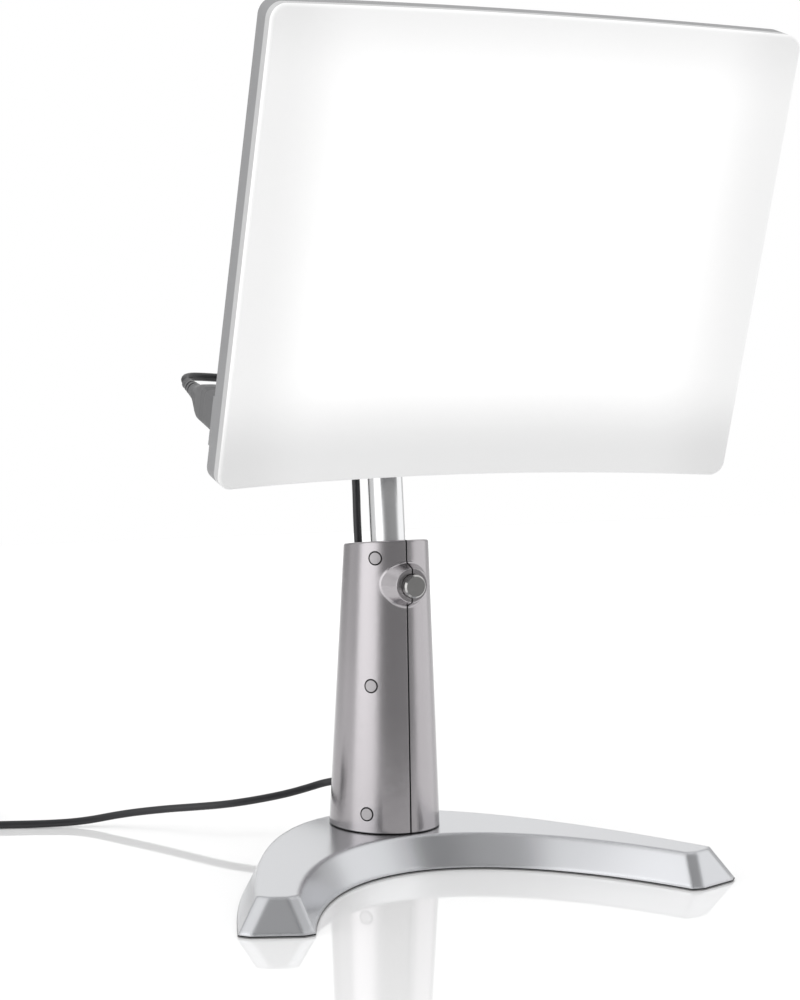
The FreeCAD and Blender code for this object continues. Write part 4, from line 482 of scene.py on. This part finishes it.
def clear_of_rings(tree, place, centres, radius_mm, reach_mm):
    """Nought within a reach of a ring round each centre, one clear of it."""
    nearest = 1.0                      # further off than any centre
    for centre in centres:
        away = add(tree, "VectorMath", {0: place, 1: centre}, operation="DISTANCE")
        nearest = calc(tree, "MINIMUM", away.outputs["Value"], nearest)
    return clear_of(tree, nearest, radius_mm, reach_mm)


CLOUD_SHARE, GRAIN_SHARE = 0.65, 0.35  # of a surface's tone
USUAL_TONES = (0.3, 0.7)               # where nearly all of the noise lies
CREVICE_SHADE = (0.25, 0.8)            # the open share that is dark, and the one that is clear
GRAIN_STRENGTH = 0.6
PROBE_RAYS = 6                         # that look for an edge or a crevice


def finish(name, colour, shade, roughness, drift=0.06, cloud_mm=30.0, grain_mm=0.6,
           grain_depth_mm=0.01, stretch=(1, 1, 1), shader=None, edge_mm=0.0, painted_crevice_shade_mm=0.0,
           painted_shut_line_shade=()):
    """A surface whose colour clouds between two tones, with grain in its relief and gloss.

    A cloud is a broad, faint change of tone and gloss; the grain is what the making left. Edges
    can be softened, and shade is painted into crevices and along shut lines, where the colour
    darkens."""
    material, tree = blank(name)
    place = stretched = object_place(tree)
    if stretch != (1, 1, 1):
        stretched = add(tree, "Mapping", {"Vector": place, "Scale": stretch}).outputs["Vector"]
    cloud = noise(tree, stretched, 1 / (cloud_mm * MM), 3.0)
    grain = noise(tree, stretched, 1 / (grain_mm * MM))
    tone = calc(tree, "ADD", calc(tree, "MULTIPLY", cloud, CLOUD_SHARE),
                calc(tree, "MULTIPLY", grain, GRAIN_SHARE))
    tint = tinted(tree, tone, linear(shade), linear(colour))
    # Painted shade: the colour turns to SHADE along each shut line, in place of the shadow in
    # its gap.
    for measure, *where in painted_shut_line_shade:
        tint = tinted(tree, measure(tree, place, *where), SHADE, tint)
    # Painted shade: the colour darkens toward SHADE where ambient occlusion finds a crevice
    # close by.
    if painted_crevice_shade_mm:
        open_share = add(tree, "AmbientOcclusion", {"Distance": painted_crevice_shade_mm * MM},
                         samples=PROBE_RAYS).outputs["AO"]
        tint = tinted(tree, ramp(tree, open_share, *CREVICE_SHADE, smooth=False), SHADE, tint)
    gloss = ramp(tree, tone, *USUAL_TONES, roughness - drift, roughness + drift, smooth=False)
    relief = {"Height": grain, "Strength": GRAIN_STRENGTH, "Distance": grain_depth_mm * MM}
    if edge_mm:
        relief["Normal"] = add(tree, "Bevel", {"Radius": edge_mm * MM},
                               samples=PROBE_RAYS).outputs["Normal"]
    relief = add(tree, "Bump", relief).outputs["Normal"]
    inputs = {"Base Color": tint, "Roughness": gloss, "Normal": relief}
    inputs.update(shader or {})
    surface = add(tree, "BsdfPrincipled", inputs)
    add(tree, "OutputMaterial", {"Surface": surface.outputs["BSDF"]})
    return material


CAP_SPACING = 20.0                     # mm; the caps stand further apart in height
CAP_EDGE = 5.0                         # radius of the shut line round a cap
FOOT_GAP, BASE_TOP = 1.0, 25.0         # the casting's underside and its top over the table


def cap_centres():
    """The middle of each screw cap on the column."""
    places = sorted((vertex.co for vertex in NODES["screw_caps"].data.vertices),
                    key=lambda place: place.z)
    groups = [[places[0]]]
    for place in places[1:]:
        if place.z - groups[-1][-1].z > CAP_SPACING * MM:
            groups.append([])
        groups[-1].append(place)
    return [tuple(sum(group, Vector()) / len(group)) for group in groups]


CAP_CENTRES = cap_centres()

METAL = {"Metallic": 1.0}
PLASTIC = {"IOR": 1.5}

# Silver lacquer on an aluminium die casting: metal flake shows as a fine sparkle under a clear
# coat. The flake is 0.05 mm in truth and is drawn ten times as coarse to show at all.
# Painted shade: a dark band round the casting's foot, just over the table, stands in for its
# contact shadow.
casting_lacquer = finish("silver_lacquer_on_casting", "#d4d5d8", "#c9cacd", 0.24, drift=0.02,
                         cloud_mm=60, grain_mm=0.5, grain_depth_mm=0.001,
                         shader={"Metallic": 0.94}, edge_mm=5.0,
                         painted_shut_line_shade=[(clear_of_plane, "Z", FOOT_GAP, 0.7)])
# The same lacquer on the moulded column, a little warmer over ABS.
# Painted shade: dark lines down the parting seam, round the column's foot on the casting and
# round each screw cap stand in for the shadow in those gaps.
column_lacquer = finish("silver_lacquer_on_abs", "#b8b4b7", "#aeabad", 0.2, drift=0.02,
                        cloud_mm=45, grain_mm=0.5, grain_depth_mm=0.001,
                        shader={"Metallic": 0.96}, edge_mm=1.0,
                        painted_shut_line_shade=[(clear_of_plane, "X", 0.0, 0.65),
                                    (clear_of_plane, "Z", BASE_TOP, 1.1),
                                    (clear_of_rings, CAP_CENTRES, CAP_EDGE, 0.5)])
# Caps of bare silver-filled ABS: duller and paler than the lacquer round them.
# Painted shade: a dark ring round each cap's edge stands in for the shadow in the gap round it.
cap_plastic = finish("silver_filled_abs", "#b7b4b6", "#a5a2a4", 0.42, cloud_mm=6,
                     grain_mm=0.35, grain_depth_mm=0.008, shader={"Metallic": 0.7},
                     painted_shut_line_shade=[(clear_of_rings, CAP_CENTRES, CAP_EDGE, 0.5)])
# Satin chromium plate on drawn steel tube: soft bands and faint lines along its length.
tube_chrome = finish("chromium_plate_on_tube", "#eeeeef", "#e4e5e6", 0.2, drift=0.03,
                     cloud_mm=25, grain_mm=0.4, grain_depth_mm=0.001, stretch=(6, 6, 0.4),
                     shader=METAL)
# Turned and polished steel: the button's face keeps fine turning marks.
button_steel = finish("polished_turned_steel", "#bebdbc", "#b0afae", 0.12, drift=0.03,
                      cloud_mm=5, grain_mm=0.3, grain_depth_mm=0.002, shader=METAL)
# Bright zinc plate on screws and pins: bluish silver with a soft, broken shine.
zinc_plate = finish("zinc_plated_steel", "#b9bcc0", "#9da1a6", 0.34, cloud_mm=4,
                    grain_mm=0.3, grain_depth_mm=0.004, shader=METAL)
# Pressed steel sheet: dull silver with mill grain along one way.
steel_sheet = finish("pressed_steel_sheet", "#b4b6b8", "#a2a4a7", 0.4, cloud_mm=30,
                     grain_mm=0.5, grain_depth_mm=0.004, stretch=(0.3, 3, 3), shader=METAL)
# Grey ABS shell with a fine spark-eroded texture from its mould.
shell_abs = finish("grey_textured_abs", "#959596", "#8b8b8d", 0.46, drift=0.05, cloud_mm=50,
                   grain_mm=0.8, grain_depth_mm=0.03, shader=PLASTIC)
# The bezel's ABS is lighter and smoother, so it catches the light as a paler band.
bezel_abs = finish("light_grey_abs", "#c8c8c8", "#bebebf", 0.36, cloud_mm=50,
                   grain_mm=0.7, grain_depth_mm=0.015, shader=PLASTIC)
# Glass-filled nylon in the hinge: silver grey and dull, with a coarser mould texture.
hinge_nylon = finish("grey_glass_filled_nylon", "#8f9092", "#7f8082", 0.5, cloud_mm=20,
                     grain_mm=0.7, grain_depth_mm=0.035, shader=PLASTIC)
# Natural acetal runs dry on the tube: waxy, off white.
guide_acetal = finish("natural_acetal", "#e6e4dc", "#dcd9d0", 0.42, cloud_mm=12,
                      grain_mm=0.6, grain_depth_mm=0.01, shader=PLASTIC)
# Black PVC jacket, extruded: a soft sheen with slow waves along it.
cord_pvc = finish("black_pvc_jacket", "#252528", "#1c1c1f", 0.42, cloud_mm=14,
                  grain_mm=0.9, grain_depth_mm=0.03, shader={"IOR": 1.53})
# Grey PVC moulded over the connector: shade is painted into its grooves and the slots of its
# relief, as dark rings between the ribs and as darkening in crevices.
connector_pvc = finish("grey_moulded_pvc", "#6b6b6c", "#5e5e5f", 0.46, cloud_mm=8,
                       grain_mm=0.6, grain_depth_mm=0.02, shader={"IOR": 1.53}, painted_crevice_shade_mm=2.5,
                       painted_shut_line_shade=[(clear_of_depth, RELIEF_START + RIB_PITCH * rib, 1.3)
                                   for rib in range(1, 4)])
# Black PVC moulded plug: the jacket's sheen in finer clouds; the rocker shares it.
plug_pvc = finish("black_moulded_pvc", "#262628", "#1b1b1d", 0.42, cloud_mm=8,
                  grain_mm=0.6, grain_depth_mm=0.03, shader={"IOR": 1.53})
# Black nylon for the switch's housing, the inlet, the clip and the grommet: the deepest black.
black_nylon = finish("black_moulded_nylon", "#1e1e20", "#151516", 0.44, cloud_mm=8,
                     grain_mm=0.5, grain_depth_mm=0.02, shader=PLASTIC)
# Synthetic rubber pads: dull, with a sandy mould face.
foot_rubber = finish("black_nitrile_rubber", "#2a2a2a", "#1f1f1f", 0.75, cloud_mm=6,
                     grain_mm=0.7, grain_depth_mm=0.05, shader={"IOR": 1.52})
# White powder coat on the lamp tray: a faint orange peel.
tray_powder_coat = finish("white_powder_coat", "#f1f1ee", "#e6e6e2", 0.48, cloud_mm=40,
                          grain_mm=1.6, grain_depth_mm=0.03, shader=PLASTIC)
# PBT lamp holders: warm white with a soft sheen.
holder_pbt = finish("white_moulded_pbt", "#e9e8e3", "#dedcd6", 0.45, cloud_mm=10,
                    grain_mm=0.6, grain_depth_mm=0.015, shader=PLASTIC)
# Nickel-plated brass blades: warm silver, drawn fine along their length.
blade_nickel = finish("nickel_plated_brass", "#cfc8b8", "#bcb39f", 0.26, cloud_mm=5,
                      grain_mm=0.3, grain_depth_mm=0.003, stretch=(0.4, 2, 2), shader=METAL)
# Black stoving enamel on the base's weight: a dull gloss with a slow orange peel.
weight_enamel = finish("black_enamel_on_iron", "#3a3b3d", "#2c2d2f", 0.5, cloud_mm=20,
                       grain_mm=1.2, grain_depth_mm=0.05, shader=PLASTIC)


# Margins of the lit panel in mm from its middle: the axis, where the light is dimmest, where it
# is full, and the share that is lost.
PANEL_MARGINS = [("X", -190, -112, 0.34), ("X", 195, 120, 0.33), ("Z", -148, -72, 0.49),
                 ("Z", 172, 95, 0.32)]
PANEL_GLOW, PANEL_MIST = 0.66, 0.03    # how bright it is, and how far that wavers
MIST_SCALE, OPAL_GRAIN_SCALE, CHALK_SCALE = 12.0, 900.0, 160.0     # clouds to a metre


def make_opal_acrylic():
    """Opal acrylic lit from behind: even white in the middle, dimmer toward its edges."""
    material, tree = blank("opal_acrylic")
    place = object_place(tree)
    axes = add(tree, "SeparateXYZ", {"Vector": head_place(tree, place)}).outputs
    missing = 0.0
    for axis, dim_at, full_at, loss in PANEL_MARGINS:
        edge = ramp(tree, axes[axis], dim_at * MM, full_at * MM, loss, 0.0)
        missing = calc(tree, "MULTIPLY_ADD", edge, edge, missing)
    glow = calc(tree, "SUBTRACT", 1.0, calc(tree, "SQRT", missing))
    mist = ramp(tree, noise(tree, place, MIST_SCALE), 0.0, 1.0,
                PANEL_GLOW * (1 - PANEL_MIST), PANEL_GLOW * (1 + PANEL_MIST), smooth=False)
    strength = calc(tree, "MULTIPLY", glow, mist)
    grain = noise(tree, place, OPAL_GRAIN_SCALE)
    relief = add(tree, "Bump", {"Height": grain, "Strength": 0.3,
                                "Distance": 0.01 * MM}).outputs["Normal"]
    surface = add(tree, "BsdfPrincipled", {
        "Base Color": linear("#c8c8c8"), "Roughness": 0.3, "IOR": 1.49,
        "Emission Color": linear("#ffffff"), "Emission Strength": strength, "Normal": relief})
    add(tree, "OutputMaterial", {"Surface": surface.outputs["BSDF"]})
    return material


# Metres along the tubes, whose sockets are at the left; and how bright they are.
TUBE_DARK_X, TUBE_LIT_X, TUBE_GLOW = -0.132, -0.105, 0.6


def make_lamp_glass():
    """Phosphor-coated glass tube: chalk white through the glass, glowing but at its sockets."""
    material, tree = blank("phosphor_coated_glass")
    place = object_place(tree)
    chalk = noise(tree, place, CHALK_SCALE, 4.0)
    tint = tinted(tree, chalk, linear("#e9ebe4"), linear("#f6f7f2"))
    axes = add(tree, "SeparateXYZ", {"Vector": place}).outputs
    glow = ramp(tree, axes["X"], TUBE_DARK_X, TUBE_LIT_X, 0.0, TUBE_GLOW, smooth=False)
    surface = add(tree, "BsdfPrincipled", {
        "Base Color": tint, "Roughness": 0.12, "IOR": 1.5,
        "Emission Color": linear("#fffffa"), "Emission Strength": glow})
    add(tree, "OutputMaterial", {"Surface": surface.outputs["BSDF"]})
    return material


opal_acrylic = make_opal_acrylic()
lamp_glass = make_lamp_glass()

NODE_FINISHES = {
    "crescent_base": casting_lacquer,
    "ballast_plate": weight_enamel,
    "rubber_feet": foot_rubber,
    "column_left_half": column_lacquer,
    "column_right_half": column_lacquer,
    "screw_caps": cap_plastic,
    "column_bolts": zinc_plate,
    "column_screws": zinc_plate,
    "upper_mast_guide": guide_acetal,
    "lower_mast_guide": guide_acetal,
    "cord_grommet": black_nylon,
    "release_button": button_steel,
    "lock_plate": steel_sheet,
    "button_spring": zinc_plate,
    "mast_tube": tube_chrome,
    "tube_end_collar": guide_acetal,
    "mast_fork": hinge_nylon,
    "hinge_pin": zinc_plate,
    "hinge_nut": zinc_plate,
    "friction_washers": black_nylon,
    "cord_clip": black_nylon,
    "diffuser": opal_acrylic,
    "bezel": bezel_abs,
    "back_shell": shell_abs,
    "hinge_plate": hinge_nylon,
    "hinge_backing_plate": steel_sheet,
    "hinge_plate_screws": zinc_plate,
    "reflector": tray_powder_coat,
    "lamp_top": lamp_glass,
    "lamp_middle": lamp_glass,
    "lamp_bottom": lamp_glass,
    "lamp_sockets": holder_pbt,
    "lamp_clips": steel_sheet,
    "electronic_ballast": steel_sheet,
    "inlet_socket": black_nylon,
    "switch_housing": black_nylon,
    "rocker_switch": plug_pvc,
    "shell_screws": zinc_plate,
    "plug_pins": blade_nickel,
    # behind the pieces that replace them
    "cord_connector": connector_pvc,
    "head_cord": cord_pvc,
    "mast_cord": cord_pvc,
    "table_cord": cord_pvc,
    "cord_coil": cord_pvc,
    "plug_cord": cord_pvc,
    "mains_plug": plug_pvc,
}
for node_name, material in NODE_FINISHES.items():
    for slot in NODES[node_name].material_slots:
        slot.link = "OBJECT"
        slot.material = material
for piece, material in ((table_lead, cord_pvc), (mast_lead, cord_pvc), (head_lead, cord_pvc),
                        (connector_moulding, connector_pvc), (plug_moulding, plug_pvc)):
    piece.data.materials.clear()
    piece.data.materials.append(material)


# ------------------------------------------------------------------------------------------
# Table, background and light
# ------------------------------------------------------------------------------------------
def seen_directly(tree):
    """One for rays from the camera, from gloss and through glass."""
    rays = add(tree, "LightPath").outputs
    seen = calc(tree, "MAXIMUM", rays["Is Camera Ray"], rays["Is Glossy Ray"])
    return calc(tree, "MAXIMUM", seen, rays["Is Transmission Ray"])


TABLE_LEFT, TABLE_RIGHT, TABLE_FRONT, TABLE_BACK = -1.4, 2.2, -0.62, 2.4
TABLE_IOR = 2.3                        # hard lacquer, buffed: it mirrors more than most
TABLE_LIFT = 0.2                       # light added where the table is seen, toward white
FAR_LIFT, FAR_STARTS, FAR_ENDS = 0.55, 0.5, 1.6            # and more for the eye, by metres


def make_table():
    """The glossy white table that the lamp stands on, which fades into the white behind it.

    It is lifted toward white where it is seen, not where it lights the lamp from below."""
    mesh = bpy.data.meshes.new("table")
    mesh.from_pydata([(TABLE_LEFT, TABLE_FRONT, 0), (TABLE_RIGHT, TABLE_FRONT, 0),
                      (TABLE_RIGHT, TABLE_BACK, 0), (TABLE_LEFT, TABLE_BACK, 0)], [],
                     [(0, 1, 2, 3)])
    table = new_object("table", mesh)
    material, tree = blank("glossy_white_lacquer")
    reach = add(tree, "VectorMath", {0: object_place(tree)}, operation="LENGTH").outputs["Value"]
    far = ramp(tree, reach, FAR_STARTS, FAR_ENDS, 0.0, FAR_LIFT)
    far = calc(tree, "MULTIPLY", far, add(tree, "LightPath").outputs["Is Camera Ray"])
    lift = calc(tree, "MULTIPLY_ADD", seen_directly(tree), TABLE_LIFT, far)
    white = add(tree, "BsdfPrincipled", {
        "Base Color": linear("#ececec"), "Roughness": 0.8, "Specular IOR Level": 0.0,
        "Emission Color": linear("#ffffff"), "Emission Strength": lift}).outputs["BSDF"]
    gloss = add(tree, "BsdfGlossy", {"Color": linear("#ffffff"), "Roughness": 0.05})
    share = add(tree, "Fresnel", {"IOR": TABLE_IOR}).outputs["Fac"]
    surface = add(tree, "MixShader", {0: share, 1: white, 2: gloss.outputs["BSDF"]})
    add(tree, "OutputMaterial", {"Surface": surface.outputs["Shader"]})
    mesh.materials.append(material)


# What gloss shows of the studio, as levels where 1 is white, by degrees from the way that the
# lamp faces toward +X: a dim room in front, a lit panel at each side, a white wall behind on
# the right and grey between them. One ring is round the horizon, the other high above it.
HORIZON = [(-180, 0.42), (-152, 0.45), (-136, 0.7), (-118, 0.66), (-106, 1.2), (-92, 1.75),
           (-70, 1.65), (-54, 1.0), (-38, 0.36), (-26, 0.3), (8, 0.32), (28, 0.34),
           (44, 0.62), (60, 1.12), (100, 1.14), (112, 0.62), (134, 0.56), (142, 1.0),
           (166, 1.0), (180, 0.42)]
OVERHEAD = [(-180, 0.6), (-110, 1.1), (-66, 1.1), (-56, 0.5), (-20, 0.45), (13, 0.3),
            (32, 0.27), (48, 0.52), (62, 0.85), (76, 1.05), (104, 1.0), (130, 0.6), (180, 0.6)]
BRIGHTEST = 1.8                        # the top of the rings' curves
HORIZON_ENDS, OVERHEAD_STARTS = 0.42, 0.70                 # Z of a way that is 1 long
SMALL_PANEL = (0.55, -0.61, 0.57)      # the way to a small panel, up in front on the right
SMALL_PANEL_LEVEL, SMALL_PANEL_INNER, SMALL_PANEL_OUTER = 1.5, 0.06, 0.2    # it fades between
AMBIENT = 0.72                         # the even light on dull surfaces


def ring(tree, turn, levels):
    """The level that a ring of the studio has at a turn from 0 to 1."""
    curve_node = add(tree, "FloatCurve", {"Value": turn})
    curve = curve_node.mapping.curves[0]
    while len(curve.points) < len(levels):
        curve.points.new(0.5, 0.5)
    for point, (degrees, level) in zip(curve.points, levels):
        point.location = ((degrees + 180) / 360, level / BRIGHTEST)
        point.handle_type = "AUTO_CLAMPED"
    curve_node.mapping.update()
    return calc(tree, "MULTIPLY", curve_node.outputs["Value"], BRIGHTEST)


def make_studio():
    """White to the eye and through glass, even light for dull surfaces, the rings for gloss."""
    world = bpy.data.worlds.new("studio")
    bpy.context.scene.world = world
    world.use_nodes = True
    tree = world.node_tree
    tree.nodes.clear()
    rays = add(tree, "LightPath").outputs
    way = add(tree, "TexCoord").outputs["Generated"]
    axes = add(tree, "SeparateXYZ", {"Vector": way}).outputs
    angle = calc(tree, "ARCTAN2", axes["X"], calc(tree, "MULTIPLY", axes["Y"], -1.0))
    turn = ramp(tree, angle, -math.pi, math.pi, smooth=False)
    height = ramp(tree, axes["Z"], HORIZON_ENDS, OVERHEAD_STARTS)
    shine = mixed(tree, height, ring(tree, turn, HORIZON), ring(tree, turn, OVERHEAD))
    off = add(tree, "VectorMath", {0: way, 1: SMALL_PANEL}, operation="DISTANCE")
    spot = ramp(tree, off.outputs["Value"], SMALL_PANEL_INNER, SMALL_PANEL_OUTER, 1.0, 0.0)
    shine = mixed(tree, spot, shine, SMALL_PANEL_LEVEL)
    level = mixed(tree, rays["Is Glossy Ray"], AMBIENT, shine)
    level = calc(tree, "MAXIMUM", level, rays["Is Camera Ray"])
    level = calc(tree, "MAXIMUM", level, rays["Is Transmission Ray"])
    background = add(tree, "Background", {"Color": linear("#ffffff"), "Strength": level})
    add(tree, "OutputWorld", {"Surface": background.outputs["Background"]})


def softbox(name, place, toward, width, height, brightness):
    """A lit panel; its brightness is that of a surface, where 1 is white."""
    data = bpy.data.lights.new(name, "AREA")
    data.shape = "RECTANGLE"
    data.size, data.size_y = width, height
    data.energy = brightness * math.pi * width * height
    lamp = new_object(name, data)
    lamp.location = place
    aim = Vector(toward) - Vector(place)
    lamp.rotation_euler = aim.to_track_quat("-Z", "Y").to_euler()
    lamp.visible_camera = False
    lamp.visible_glossy = False        # gloss shows the studio's own panels


make_table()
make_studio()
softbox("softbox_left", (-1.9, -0.1, 0.95), (0, 0, 0.35), 2.4, 1.7, 1.25)
softbox("softbox_right", (2.2, 0.5, 1.0), (0, 0, 0.3), 1.6, 1.7, 0.7)
softbox("softbox_above", (0.0, -0.2, 2.4), (0, 0, 0), 2.6, 2.6, 0.8)

scene = bpy.context.scene
scene.view_settings.view_transform = "Standard"
